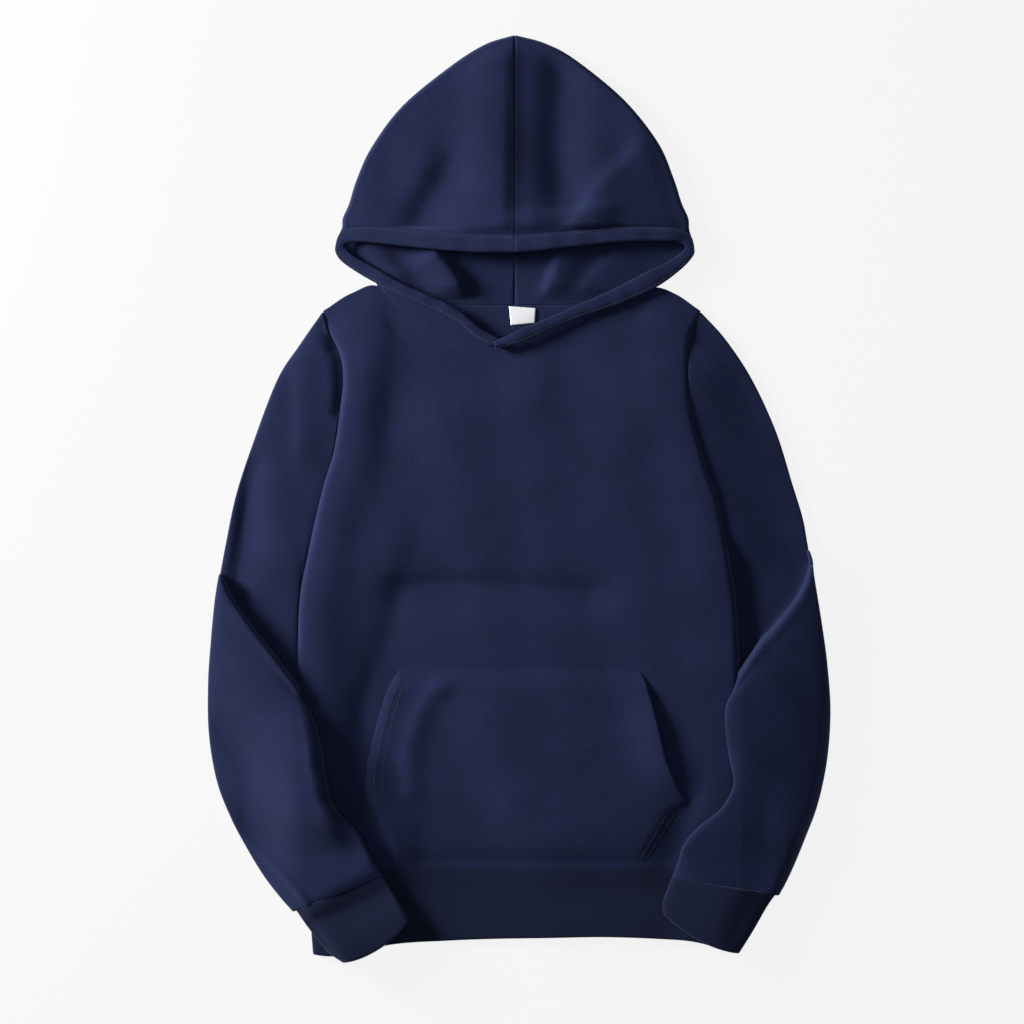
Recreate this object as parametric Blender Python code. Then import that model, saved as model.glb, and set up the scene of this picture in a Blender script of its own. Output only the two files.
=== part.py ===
"""Pullover hoodie in heavy brushed fleece, laid flat and face up.

The garment lies on the plane z = 0 with its hem towards -Y and its hood towards +Y. The wearer's
right side is at -X. The origin is the middle of its footprint, on the surface it rests on.

Every piece of cloth is a wall: a middle surface worked out on a grid from the tables below, moved
half its thickness to each side along its normals, and closed around its edges. All tables are in
millimetres, from a point close to the middle of the chest, and the finished meshes are in metres.
"""

import bpy
import numpy as np
from mathutils.bvhtree import BVHTree

MM = 0.001
LAST = -1
FOOTPRINT_MIDDLE = (0.75, 1.1, 0.0)  # where the middle of the footprint lies in the tables

# Cloth
FLEECE = 2.4  # one layer of brushed fleece
RIB = 3.0  # the folded double rib of hem and cuffs
TURNED = 4.2  # the hood's turned and stitched edge, two layers of fleece
LABEL = 0.6
SEAM = 0.4  # clearance between two pieces that are sewn together
LAID_ON = 1.6  # clearance under a layer that is draped over a rounded one

# Levels of the body's layers, measured at the middle of the cloth
BACK_LEVEL = FLEECE / 2
FRONT_LEVEL = 12.0
NECK_LEVEL = 6.6  # the front along the neckline
NECK_RISE = 80.0  # how far below the neckline the front has come up to its level
HEM_LEVEL = 9.0  # the front along the hem's seam
HEM_RISE = 55.0
LEAST_LEVEL = 4.9  # the front in its deepest folds, where it lies on the back
LEAST_SOFT = 0.8
DEEP_FOLD = 0.5  # in folds deeper than this the front softly comes down to its least level
LAPPED_LEVEL = 5.2  # the front along the bulky shoulder seam
HEM_BACK_LEVEL = RIB / 2
SIDE_SEAM_LEVEL = 5.2
ARMHOLE_DROP = 0.6  # how much lower the front's edge lies along the armhole
SIDE_ROLL = 8.0  # radius of the rounded side of the body
CROWN_REACH = 24.0  # distance of the crown of the side roll from the side edge
CROWN_WIDTH = 27.0
CROWN_RIGHT = 3.5  # how far the crown stands above the middle, wearer's right
CROWN_LEFT = 4.0
CROWN_AT_HEM = 0.2  # share of the crown that is left at the hem, and where it is whole again
CROWN_WHOLE = 90.0  # distance above the hem's seam from which the crown is whole
CHEST_Y = 60.0  # the crown falls from here up to the shoulders
CHEST_REACH = 110.0
CHEST_FALL = 0.55
LAP_FROM = 88.0  # the shoulders lap down from this distance off the middle, mm
LAP_WIDTH = 52.0
LAP_DEPTH = 42.0
LAP_MIDDLE = -1.0
ARMHOLE_FROM = -98.0  # the side seam turns into the armhole from here up
ARMHOLE_TURN = 40.0
FOLD_FADE = 30.0  # distance below the top edge over which the folds come up
BACK_TURN = 20.0  # height over which the back's edge lies out flat above the armpit

# Height up the garment, x of the edge on the wearer's right, x of the edge on the wearer's left
BODY_SIDES = (
    (-385, -221, 230.5),
    (-340, -223, 230.8),
    (-292, -225, 230.8),
    (-198, -230, 230.5),
    (-146, -230, 229.5),
    (-94, -227, 225.5),
    (-57, -220, 219),
    (-29, -214, 213.5),
    (1, -207, 207),
    (21, -202, 199.5),
    (46, -194, 192),
    (74, -189, 184),
    (95, -186, 179.5),
    (124, -183, 177),
    (145, -185, 177),
    (160, -190, 178.5),
    (173, -197, 181),
    (196, -204, 190),
)
# x, y of the top edge of the front: shoulder, neck point, the V of the neckline, and back up
FRONT_TOP = (
    (-204, 196),
    (-174, 215),
    (-143, 220),
    (-128, 201),
    (-112, 187),
    (-94, 177),
    (-75, 170),
    (-50, 164),
    (-22, 159),
    (0, 169),
    (36, 183),
    (70, 194),
    (97, 203),
    (123, 213),
    (141, 221),
    (164, 214),
    (190, 196),
)
# x, y of the back's top edge across the nape, from one neck point to the other
BACK_TOP = (
    (-143, 220),
    (-128, 215.5),
    (-108, 208.5),
    (-84, 204.2),
    (-44, 203.2),
    (-4, 203),
    (38, 203.2),
    (80, 204.2),
    (104, 208.5),
    (125, 216),
    (141, 221),
)
# Levels of the rows of cloth up the side of the body. Those from the armpit up are the armhole.
ARMPIT_Y = -78
LOWER_ROWS = (-385, -342, -298, -252, -206, -160, -122, -98)
ARMHOLE_ROWS = (-78, -60, -38, -12, 16, 46, 74, 100, 124, 148, 170, 185, 196)
HEM_SEAM_Y = -385.0
SHOULDER_Y = 196.0
ROLL_ANGLES = (0, 30, 60)
SIDE_COLUMNS = (0, 0.02, 0.045, 0.075, 0.105)  # shares of the front, under the side's crown

# Soft troughs and ridges of the front: from x, from y, to x, to y, half width, height
FRONT_FOLDS = (
    (-142, 112, -144, -14, 24, -3.2),
    (-122, -40, -160, -195, 22, -4.0),
    (-134, -84, 70, -88, 18, -2.2),
    (-165, -215, -112, -450, 34, -7.6),
    (150, 60, 168, -60, 26, -1.2),
)

# x, y along the bottom edge of the hem band
HEM_BOTTOM = (
    (-215, -474.5),
    (-196, -476.5),
    (-165, -471.5),
    (-140, -465.5),
    (-75, -460.5),
    (28, -457.5),
    (97, -456.5),
    (148, -458.5),
    (184, -461.5),
    (211, -468.5),
    (231, -474.5),
)
HEM_ROWS = (0, 0.1, 0.45, 0.85, 1)
HEM_RIGHT_IN = 7.0  # how far the hem band's right end has moved in at its bottom edge
HEM_LEFT_IN = 2.0

# Height, x of the edge on the wearer's right, x on the wearer's left
POCKET_SIDES = (
    (-382.5, -128, 135),
    (-350, -144, 157),
    (-318, -158, 176),
    (-300, -160, 166),
    (-270, -157, 153),
    (-231, -147, 144),
    (-202, -138, 136),
    (-170, -123, 126),
)
POCKET_COLUMNS = (0, 0.05, 0.14, 0.28, 0.5, 0.72, 0.86, 0.95, 1)
POCKET_PUFF = 1.2
POCKET_SIDE_PUFF = 0.5  # share of the puff that is left at the pocket's sides
POCKET_ROUND = 0.5  # power that squares the puff's profile from bottom to top
POCKET_GAP = 1.0

# Sleeves: x and y at the outer edge, x and y at the inner edge, thickness of the flattened
# sleeve, share of the body's height that it is lifted by, share of the armhole's curve
RIGHT_SLEEVE = (
    (-204, 196, -223.5, -78, 8.2, 0, 1),
    (-228, 161, -227, -84, 8.8, 0, 0.8),
    (-251, 125, -228, -91, 9.0, 0, 0.5),
    (-277, 57, -229, -104, 9.5, 0, 0.25),
    (-294, 5, -230.3, -124, 9.5, 0, 0.1),
    (-304.5, -45, -231, -152, 9.0, 0, 0),
    (-310.5, -68, -231.3, -180, 9.6, 0.08, 0),
    (-313.5, -80, -232, -197, 13.0, 0.6, 0),
    (-317, -110, -227, -214, 14.0, 0.95, 0),
    (-321, -148, -215, -224, 12.0, 1, 0),
    (-323.5, -192, -206, -252, 10.5, 1, 0),
    (-323, -242, -200, -288, 10.0, 1, 0),
    (-314, -292, -194, -313, 10.0, 1, 0),
    (-300.5, -331, -181, -331, 11.0, 1, 0),
    (-283, -364, -166, -346, 12.0, 1, 0),
    (-266, -391, -157, -363, 11.5, 1, 0),
    (-249, -412, -149, -378, 10.0, 1, 0),
    (-234, -428, -141, -391, 9.2, 1, 0),
)
LEFT_SLEEVE = (
    (190, 196, 222.5, -78, 6.2, 0, 1),
    (216, 167, 224.7, -82, 6.2, 0, 0.8),
    (243, 126, 226, -88, 6.2, 0, 0.5),
    (268, 72, 227.5, -98, 6.4, 0, 0.25),
    (285, 18, 229, -112, 6.8, 0, 0.1),
    (296, -20, 230.2, -130, 7.2, 0, 0),
    (301, -44, 231, -152, 9.6, 0.08, 0),
    (304, -58, 232, -169, 13.0, 0.6, 0),
    (309.5, -88, 227.5, -190, 14.0, 0.95, 0),
    (316, -126, 215, -211, 12.0, 1, 0),
    (322, -172, 214, -238, 10.5, 1, 0),
    (325, -222, 218, -268, 10.0, 1, 0),
    (321, -272, 222, -296, 10.0, 1, 0),
    (311, -317, 209, -321, 11.0, 1, 0),
    (297, -352, 187, -339, 12.0, 1, 0),
    (286, -379, 171, -358, 11.5, 1, 0),
    (278, -398, 165, -377, 10.0, 1, 0),
    (271, -412, 159, -394, 9.2, 1, 0),
)
# Cuffs, in the same way, with the bow of the ring towards the hand as the last column
RIGHT_CUFF = (
    (-231, -426.8, -141, -391, 9.2, 0),
    (-218, -444.5, -132, -405, 9.6, 2),
    (-199, -468, -120, -424, 9.6, 5),
    (-182, -480.5, -113, -437, 9.2, 8),
)
LEFT_CUFF = (
    (267.5, -411.4, 159, -394, 9.2, 0),
    (257.5, -423.5, 155, -403, 9.6, 2),
    (244, -446.5, 149.5, -417.5, 9.6, 4),
    (228.5, -471, 151, -430.5, 9.2, 7),
)
EDGE_ANGLES = (0, 45, 90)  # points round the edge of a flattened tube
CUFF_PLACES = 7
DRAPE_HOLD = 0.7  # a layer over the crown rises no further than this share of its reach
CUFF_STEP = 20.0  # length over which a layer rises from the fleece onto the thicker rib
DRAPE_OUT = 85.0  # how far a layer lying over an edge takes to come down beside it

# Hood halves, a row for each line of cloth from the stitched face edge round to the centre seam,
# from the neck up to the top. Face edge x, y, z; fold x, y; height of the upper layer at the fold;
# y of its end on the centre seam
RIGHT_HOOD = (
    (-25, 161, 7.0, -148.5, 226.5, 5.6, 203.7),
    (-40, 178, 8.0, -150, 228.5, 5.8, 216),
    (-62, 196, 8.0, -151.5, 230.5, 6.0, 230),
    (-92, 211, 8.0, -152.3, 231.5, 6.2, 243),
    (-119, 223, 7.4, -154.5, 233.5, 6.4, 253),
    (-147, 239, 6.0, -160, 238, 6.0, 262),
    (-170, 250, 4.8, -175, 245, 4.8, 268),
    (-182, 259.5, 4.6, -185.5, 256, 4.6, 273),
    (-184.5, 270, 5.2, -188, 270, 5.2, 279),
    (-174, 282.5, 7.6, -183, 283, 7.2, 285),
    (-150, 282.5, 10.2, -182, 293, 8.0, 299),
    (-116, 279.5, 12.0, -175.5, 308, 8.6, 316),
    (-86, 277.5, 13.2, -168, 332, 9.0, 338),
    (-60, 275.5, 14.2, -152.5, 366, 9.0, 366),
    (-40, 274.5, 14.8, -120.5, 409, 9.0, 400),
    (-22, 274, 15.0, -71, 450, 9.0, 436),
    (-13, 273.8, 15.0, -35, 473, 8.8, 456),
    (-4.2, 273.5, 15.0, -4.2, 482.5, 8.6, 466),
)
LEFT_HOOD = (
    (-17, 163.5, 7.0, 145, 225.5, 5.6, 203.7),
    (10, 179, 8.0, 146, 227, 5.8, 216),
    (35, 191, 8.0, 147, 229, 6.0, 230),
    (66, 205, 8.0, 148, 231, 6.2, 243),
    (98, 219, 7.4, 150, 233.5, 6.4, 253),
    (133, 237, 6.0, 155, 237.5, 6.0, 262),
    (160, 248, 4.8, 165.5, 242.5, 4.8, 268),
    (173.5, 257.5, 4.6, 177, 254, 4.6, 273),
    (176.5, 268.5, 5.2, 180, 268.5, 5.2, 279),
    (167, 281, 7.6, 177, 281.5, 7.2, 285),
    (142, 282.5, 10.2, 176, 293, 8.0, 299),
    (107, 282.5, 12.0, 169, 309, 8.6, 316),
    (78, 280, 13.2, 160.5, 335, 9.0, 338),
    (52, 278, 14.2, 144.5, 371.5, 9.0, 366),
    (32, 276.5, 14.8, 109, 416, 9.0, 400),
    (14, 275, 15.0, 58.5, 457.5, 9.0, 436),
    (5, 274.2, 15.0, 27, 474.5, 8.8, 456),
    (-3.8, 273.5, 15.0, -3.8, 482.5, 8.6, 466),
)
# The turned face edges, from the neck up: x, y, z of the edge away from the opening's middle and
# x, y, z of the edge towards it
RIGHT_BAND = (
    (-17, 156.5, 10.6, -14, 163.5, 10.6),
    (-43.5, 169, 11.2, -40, 178, 11.2),
    (-66, 187, 12.0, -62, 196, 12.0),
    (-98, 202, 12.0, -92, 211, 12.0),
    (-124, 213.5, 11.8, -119, 223, 11.6),
    (-153, 227.5, 10.6, -147, 239, 10.4),
    (-180, 244.5, 9.2, -169.5, 252, 8.8),
    (-189.5, 255, 8.6, -179.5, 261, 8.4),
    (-190.5, 264, 9.0, -180.5, 265.5, 9.0),
    (-185.5, 277, 10.6, -176.5, 267.5, 10.0),
    (-172, 281.5, 11.6, -170, 268.5, 11.2),
    (-150, 281.5, 12.6, -148, 266.5, 12.9),
    (-116, 278.5, 13.8, -114, 262.5, 14.2),
    (-86, 276.5, 14.6, -86, 259.5, 15.0),
    (-60, 274.5, 15.2, -60, 257.5, 15.6),
    (-40, 273.5, 15.6, -40, 256.5, 16.0),
    (-22, 273, 15.8, -22, 256.5, 16.0),
    (-4.2, 272.5, 15.8, -4.2, 256.5, 16.0),
)
LEFT_BAND = (
    (-24, 156, 15.8, -26, 163.5, 15.8),
    (8, 165.5, 15.6, 6, 178, 15.6),
    (37, 179, 14.6, 35, 190, 14.6),
    (70, 191.5, 13.6, 66, 204, 13.4),
    (104, 203, 12.6, 98, 218, 12.4),
    (142, 220, 11.2, 133, 236, 11.2),
    (168, 238.5, 9.4, 159.5, 250, 9.2),
    (181.5, 253, 8.6, 171.5, 259, 8.6),
    (183, 262, 9.0, 173.5, 263.5, 9.0),
    (178.5, 275, 10.6, 170, 266.5, 10.0),
    (165, 280.5, 11.6, 163.5, 268.5, 11.2),
    (142, 281.5, 12.6, 146, 269, 12.9),
    (107, 281.5, 13.8, 108, 268, 14.2),
    (78, 279, 14.6, 78, 265, 15.0),
    (52, 277, 15.2, 52, 262, 15.6),
    (32, 275.5, 15.6, 32, 259.5, 16.0),
    (14, 274, 15.8, 14, 257.5, 16.0),
    (-3.8, 272.5, 15.8, -3.8, 256.5, 16.0),
)
HOOD_RIGHT_X = -4.2  # the two halves meet at the centre seam
HOOD_LEFT_X = -3.8
HOOD_ROWS = 25
HOOD_UPPER_STEPS = 7
HOOD_FOLD_STEPS = 4
HOOD_LOWER_STEPS = 5
FOLD_TURN = 0.8  # half length of the turn at the fold, as a share of its height
FOLD_SOFT = 0.5  # how far the fold is softened, as a share of its height
LEAST_STEP = 0.6  # shortest step along a line of cloth
NECK_ROWS = 6  # rows of the hood over which the shape of the neck's seam fades
NECK_GAP = 0.9
NECK_REACH = 2 / 3  # how far towards the neck point the seam's last point on the front lies
CURL_TURN = 6.0  # half length of the turn where the face edge curls up from the lower layer
CURL_REACH = 20.0
THINNING = 0.8  # step by which a wall gets thinner where it would cut itself in a tight fold
THINNING_ROUNDS = 20
LEAST_OFFSET = 0.1
KEPT_APART = 0.75  # share of a step between points that the wall's two faces may use up
BAND_RINGS = 35
BAND_POINTS = 8
BAND_SQUARE = 0.6  # power that squares the ellipse of the turned edge

LABEL_GAP = 0.3
LABEL_CORNERS = ((-10, 201.5), (18, 199.5), (17, 184), (-8, 181.5))

NAVY = (0.020, 0.026, 0.072, 1.0)
NAVY_RIB = (0.016, 0.021, 0.060, 1.0)
WHITE = (0.78, 0.78, 0.77, 1.0)


# ------------------------------------------------------------------ curves and grids


def ease(x):
    """A smooth step from 0 at x = 0 to 1 at x = 1."""
    x = np.clip(x, 0.0, 1.0)
    return x * x * (3.0 - 2.0 * x)


def smooth_curve(places, values, x):
    """A cubic curve through the values at rising places, with the slopes of its neighbours."""
    places = np.asarray(places, float)
    values = np.asarray(values, float)
    slopes = np.gradient(values, places, axis=0)
    x = np.clip(np.asarray(x, float), places[0], places[-1])
    i = np.clip(np.searchsorted(places, x, side="right") - 1, 0, len(places) - 2)
    span = places[i + 1] - places[i]
    t = (x - places[i]) / span
    if values.ndim > 1:
        t = t[..., None]
        span = span[..., None]
    start = (2 * t**3 - 3 * t**2 + 1) * values[i] + (t**3 - 2 * t**2 + t) * span * slopes[i]
    end = (3 * t**2 - 2 * t**3) * values[i + 1] + (t**3 - t**2) * span * slopes[i + 1]
    return start + end


def table_rows(table, count):
    """A table's rows, read as smooth curves at a count of even steps from first to last."""
    table = np.asarray(table, float)
    steps = np.linspace(0, len(table) - 1, count)
    return smooth_curve(np.arange(len(table)), table, steps)


def folds(table, x, y):
    """The sum of soft troughs and ridges, each a bell across a line that fades at its ends."""
    total = np.zeros(np.broadcast(x, y).shape)
    for from_x, from_y, to_x, to_y, width, height in table:
        along_x = to_x - from_x
        along_y = to_y - from_y
        length = np.hypot(along_x, along_y)
        along = ((x - from_x) * along_x + (y - from_y) * along_y) / length
        across = ((x - from_x) * along_y - (y - from_y) * along_x) / length
        past = np.maximum(np.maximum(-along, along - length), 0)
        total += height * np.exp(-(across**2 + past**2) / width**2)
    return total


# ------------------------------------------------------------------ the body's surface


def body_edges(y):
    sides = np.asarray(BODY_SIDES, float)
    return smooth_curve(sides[:, 0], sides[:, 1], y), smooth_curve(sides[:, 0], sides[:, 2], y)


def front_top(x):
    top = np.asarray(FRONT_TOP, float)
    return np.interp(x, top[:, 0], top[:, 1])


def back_top(x):
    """The back's top edge: the same shoulders, and a shallow curve across the nape."""
    nape = np.asarray(BACK_TOP, float)
    inside = (x > nape[0, 0]) & (x < nape[LAST, 0])
    return np.where(inside, np.interp(x, nape[:, 0], nape[:, 1]), front_top(x))


def armhole_share(y):
    """0 along the side seam and 1 up the armhole."""
    return ease((y - ARMHOLE_FROM) / ARMHOLE_TURN)


def body_level(x, y):
    """Height of the middle of the front's cloth without its folds: a level sheet with a crown
    along each side edge, lower at the neckline, the hem and the lapped shoulder seams."""
    right, left = body_edges(y)
    from_right = np.maximum(x - right, SIDE_ROLL)
    from_left = np.maximum(left - x, SIDE_ROLL)
    along = CROWN_AT_HEM + (1 - CROWN_AT_HEM) * ease((y - HEM_SEAM_Y) / CROWN_WHOLE)
    along = along * (1.0 - CHEST_FALL * ease((y - CHEST_Y) / CHEST_REACH))
    crown = CROWN_RIGHT * np.exp(-(((from_right - CROWN_REACH) / CROWN_WIDTH) ** 2))
    crown = crown + CROWN_LEFT * np.exp(-(((from_left - CROWN_REACH) / CROWN_WIDTH) ** 2))
    below_top = front_top(x) - y
    level = NECK_LEVEL + (FRONT_LEVEL - NECK_LEVEL) * ease(below_top / NECK_RISE)
    level = HEM_LEVEL + (level - HEM_LEVEL) * ease((y - HEM_SEAM_Y) / HEM_RISE)
    z = level + crown * along
    shoulder = ease((np.abs(x - LAP_MIDDLE) - LAP_FROM) / LAP_WIDTH)
    lap = shoulder * (1.0 - ease(below_top / LAP_DEPTH))
    return z + (LAPPED_LEVEL - z) * lap


def front_height(x, y):
    """The body's level with its folds, which fade towards the top edge."""
    fading = ease((front_top(x) - y) / FOLD_FADE)
    relief = folds(FRONT_FOLDS, x, y)
    above = body_level(x, y) + relief * fading - LEAST_LEVEL
    lying = LEAST_LEVEL + LEAST_SOFT * np.logaddexp(0, above / LEAST_SOFT)
    return np.where(relief < -DEEP_FOLD, lying, LEAST_LEVEL + above)


def column_shares(x_places):
    """Shares of the body's width between its rolled sides for places along its top edge."""
    start = FRONT_TOP[0][0] + FLEECE / 2 + SIDE_ROLL
    end = FRONT_TOP[LAST][0] - FLEECE / 2 - SIDE_ROLL
    return (np.asarray(x_places, float) - start) / (end - start)


def front_columns():
    """Columns under the two side crowns, and one at each point of the neckline."""
    neckline = column_shares([place[0] for place in FRONT_TOP[2:15]])
    sides = np.asarray(SIDE_COLUMNS)
    return np.concatenate([sides, neckline, 1 - sides[::-1]])


def back_columns():
    nape = column_shares([place[0] for place in BACK_TOP])
    return np.concatenate([[0, nape[0] / 2], nape, [(1 + nape[LAST]) / 2, 1]])


def body_columns(fractions, y_levels, top_edge, roll_out):
    """x and y of a body panel: rolled columns at each side and the columns between them."""
    angles = np.radians(ROLL_ANGLES)
    inset = FLEECE / 2 + SIDE_ROLL * (1 - np.cos(angles))
    rows = len(y_levels)
    share = (np.asarray(y_levels, float) - HEM_SEAM_Y) / (SHOULDER_Y - HEM_SEAM_Y)
    columns = []
    top_right, top_left = body_edges(np.array([SHOULDER_Y]))
    deep = FLEECE / 2 + SIDE_ROLL
    for side in ("right", "middle", "left"):
        if side == "middle":
            places = fractions
        else:
            places = inset if side == "right" else inset[::-1]
        for place in places:
            if side == "right":
                top_x = top_right + place
            elif side == "left":
                top_x = top_left - place
            else:
                top_x = top_right + deep + (top_left - top_right - 2 * deep) * place
            y = HEM_SEAM_Y + share * (top_edge(top_x) - HEM_SEAM_Y)
            edge_right, edge_left = body_edges(y)
            if side == "right":
                x = edge_right + place - roll_out(y)
            elif side == "left":
                x = edge_left - place + roll_out(y)
            else:
                x = edge_right + deep + (edge_left - edge_right - 2 * deep) * place
                x = x + (top_x - x[LAST]) * share**3
            columns.append(np.stack([x, y], -1).reshape(rows, 2))
    return np.stack(columns, 1)


def front_panel_grid():
    plan = body_columns(front_columns(), LOWER_ROWS + ARMHOLE_ROWS, front_top, lambda y: 0 * y)
    x, y = plan[..., 0], plan[..., 1]
    z = front_height(x, y)
    rim = SIDE_SEAM_LEVEL + SEAM / 2 - ARMHOLE_DROP * armhole_share(y)
    rim = np.minimum(rim, z)
    rise = np.sin(np.radians(ROLL_ANGLES))
    count = len(ROLL_ANGLES)
    z[:, :count] = rim[:, :count] + (z[:, :count] - rim[:, :count]) * rise
    z[:, -count:] = rim[:, -count:] + (z[:, -count:] - rim[:, -count:]) * rise[::-1]
    return np.dstack([x, y, z])


def back_panel_grid():
    flat_out = lambda y: FLEECE / 2 * ease((y - ARMPIT_Y) / BACK_TURN)
    plan = body_columns(back_columns(), LOWER_ROWS + ARMHOLE_ROWS, back_top, flat_out)
    x, y = plan[..., 0], plan[..., 1]
    z = np.full(x.shape, BACK_LEVEL)
    curl = (SIDE_SEAM_LEVEL - SEAM / 2 - BACK_LEVEL) * (1 - armhole_share(y))
    rise = 1 - np.sin(np.radians(ROLL_ANGLES))
    count = len(ROLL_ANGLES)
    z[:, :count] += curl[:, :count] * rise
    z[:, -count:] += curl[:, -count:] * rise[::-1]
    return np.dstack([x, y, z])


def hem_bottom(x):
    edge = np.asarray(HEM_BOTTOM, float)
    return smooth_curve(edge[:, 0], edge[:, 1], x)


def hem_grid(front, back):
    """A flat tube below the two panels: their lowest rows joined in a ring and carried down."""
    upper = front[0] + [0, 0, (RIB - FLEECE) / 2]
    lower = back[0, 1:-1][::-1] + [0, 0, HEM_BACK_LEVEL - BACK_LEVEL]
    upper[[0, -1], 2] = SIDE_SEAM_LEVEL
    ring = np.vstack([upper, lower])
    grid = []
    for row in HEM_ROWS:
        points = ring.copy()
        across = (ring[:, 0] - front[0, 0, 0]) / (front[0, -1, 0] - front[0, 0, 0])
        shift = HEM_RIGHT_IN * (1 - across) - HEM_LEFT_IN * across
        points[:, 0] = ring[:, 0] + shift * row
        top = HEM_SEAM_Y - SEAM
        points[:, 1] = top + (hem_bottom(points[:, 0]) - top) * row
        grid.append(points)
    return np.array(grid)


def pocket_grid():
    """The pouch pocket: the front's own surface moved out by its cloth, a little puffed."""
    sides = np.asarray(POCKET_SIDES, float)
    right, left = sides[:, 1:2], sides[:, 2:3]
    across = np.asarray(POCKET_COLUMNS)
    x = right + (left - right) * across
    y = np.repeat(sides[:, :1], len(across), 1)
    up = np.linspace(0, 1, len(sides))[:, None]
    middle = POCKET_SIDE_PUFF + (1 - POCKET_SIDE_PUFF) * 4 * across * (1 - across)
    puff = POCKET_PUFF * np.sin(np.pi * up) ** POCKET_ROUND * middle
    z = front_height(x, y) + FLEECE + POCKET_GAP + puff
    return np.dstack([x, y, z])


# ------------------------------------------------------------------ sleeves and cuffs


def drape_height(x, y):
    """Height of a layer lying over the body: on its front, and coming down beside its edges."""
    right, left = body_edges(y)
    held_y = np.maximum(y, HEM_SEAM_Y)
    inside = np.clip(x, right + CROWN_REACH * DRAPE_HOLD, left - CROWN_REACH * DRAPE_HOLD)
    top = body_level(inside, held_y) + FLEECE / 2 + LAID_ON
    top = top + (RIB - FLEECE) * ease((HEM_SEAM_Y + CUFF_STEP - y) / CUFF_STEP)
    outside = np.maximum(right - x, x - left)
    below = hem_bottom(np.clip(x, HEM_BOTTOM[0][0], HEM_BOTTOM[LAST][0])) - y
    aside = 1 - ease(outside / DRAPE_OUT)
    beyond = 1 - ease(below / DRAPE_OUT)
    return top * aside * beyond


def flat_tube(outer, inner, places, bottom, thickness, cloth, bend):
    """One ring of a flattened tube: upper cloth from edge to edge, lower cloth back again.

    Its two edges are half rounds, and places are shares of the flat part between them. bend gives
    the ring's distance from its chord at shares of the chord.
    """
    chord = inner - outer
    length = np.linalg.norm(chord)
    radius = (thickness - cloth) / 2
    angles = np.radians(EDGE_ANGLES)
    edge = cloth / 2 + radius * (1 - np.cos(angles))
    flat = cloth / 2 + radius + (length - cloth - 2 * radius) * places
    along = np.concatenate([edge, flat, length - edge[::-1]])
    rise = np.concatenate([np.sin(angles), np.ones(len(places)), np.sin(angles[::-1])])
    share = along / length
    plan = outer + chord * share[:, None] + bend(share)
    middle = bottom(plan[:, 0], plan[:, 1]) + thickness / 2
    upper = np.column_stack([plan, middle + radius * rise])
    lower = np.column_stack([plan, middle - radius * rise])
    return np.vstack([upper, lower[-2:0:-1]])


def armhole_edge(side, share):
    """x of the armhole's seam at a share of the way down from the shoulder to the armpit."""
    y = SHOULDER_Y + (ARMPIT_Y - SHOULDER_Y) * share
    return body_edges(y)[0 if side < 0 else 1] + side * SEAM


def armhole_bend(side, share):
    """How far the armhole's seam lies from the straight line between its two ends."""
    ends = armhole_edge(side, np.array([0.0, 1.0]))
    straight = ends[0] + (ends[1] - ends[0]) * share
    return np.column_stack([armhole_edge(side, share) - straight, np.zeros(len(share))])


def sleeve_grid(side, table):
    """Rings from the armhole, where they meet the body's rows, to the cuff."""
    levels = np.asarray(ARMHOLE_ROWS[-2:0:-1], float)
    ends = armhole_edge(side, np.array([0.0, 1.0]))
    outer = np.array([ends[0], SHOULDER_Y])
    inner = np.array([ends[1], ARMPIT_Y])
    length = np.linalg.norm(inner - outer)
    round_end = table[0][4] / 2
    shares = (SHOULDER_Y - levels) / (SHOULDER_Y - ARMPIT_Y)
    places = (shares * length - round_end) / (length - 2 * round_end)
    grid = []
    for number, row in enumerate(table):
        if number > 0:
            outer = np.array(row[0:2], float)
            inner = np.array(row[2:4], float)
        thickness, lift, curve = row[4:7]
        bottom = lambda x, y, lift=lift: lift * drape_height(x, y)
        bend = lambda share, curve=curve: curve * armhole_bend(side, share)
        grid.append(flat_tube(outer, inner, places, bottom, thickness, FLEECE, bend))
    return np.array(grid)


def cuff_grid(table):
    places = (1 - np.cos(np.linspace(0, np.pi, CUFF_PLACES + 2)[1:-1])) / 2
    first = np.array(table[0][0:4], float)
    along = np.array([first[1] - first[3], first[2] - first[0]])
    towards_hand = np.array(table[LAST][0:2], float) - first[0:2]
    along = along / np.linalg.norm(along)
    along = along * np.sign(along @ towards_hand)
    grid = []
    for number, row in enumerate(table):
        outer = np.array(row[0:2], float)
        inner = np.array(row[2:4], float)
        if number == 0:
            outer = outer + along * SEAM
            inner = inner + along * SEAM
        bow = row[5]
        bend = lambda share, bow=bow: (bow * 4 * share * (1 - share))[:, None] * along
        grid.append(flat_tube(outer, inner, places, drape_height, row[4], RIB, bend))
    return np.array(grid), along


# ------------------------------------------------------------------ hood


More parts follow.
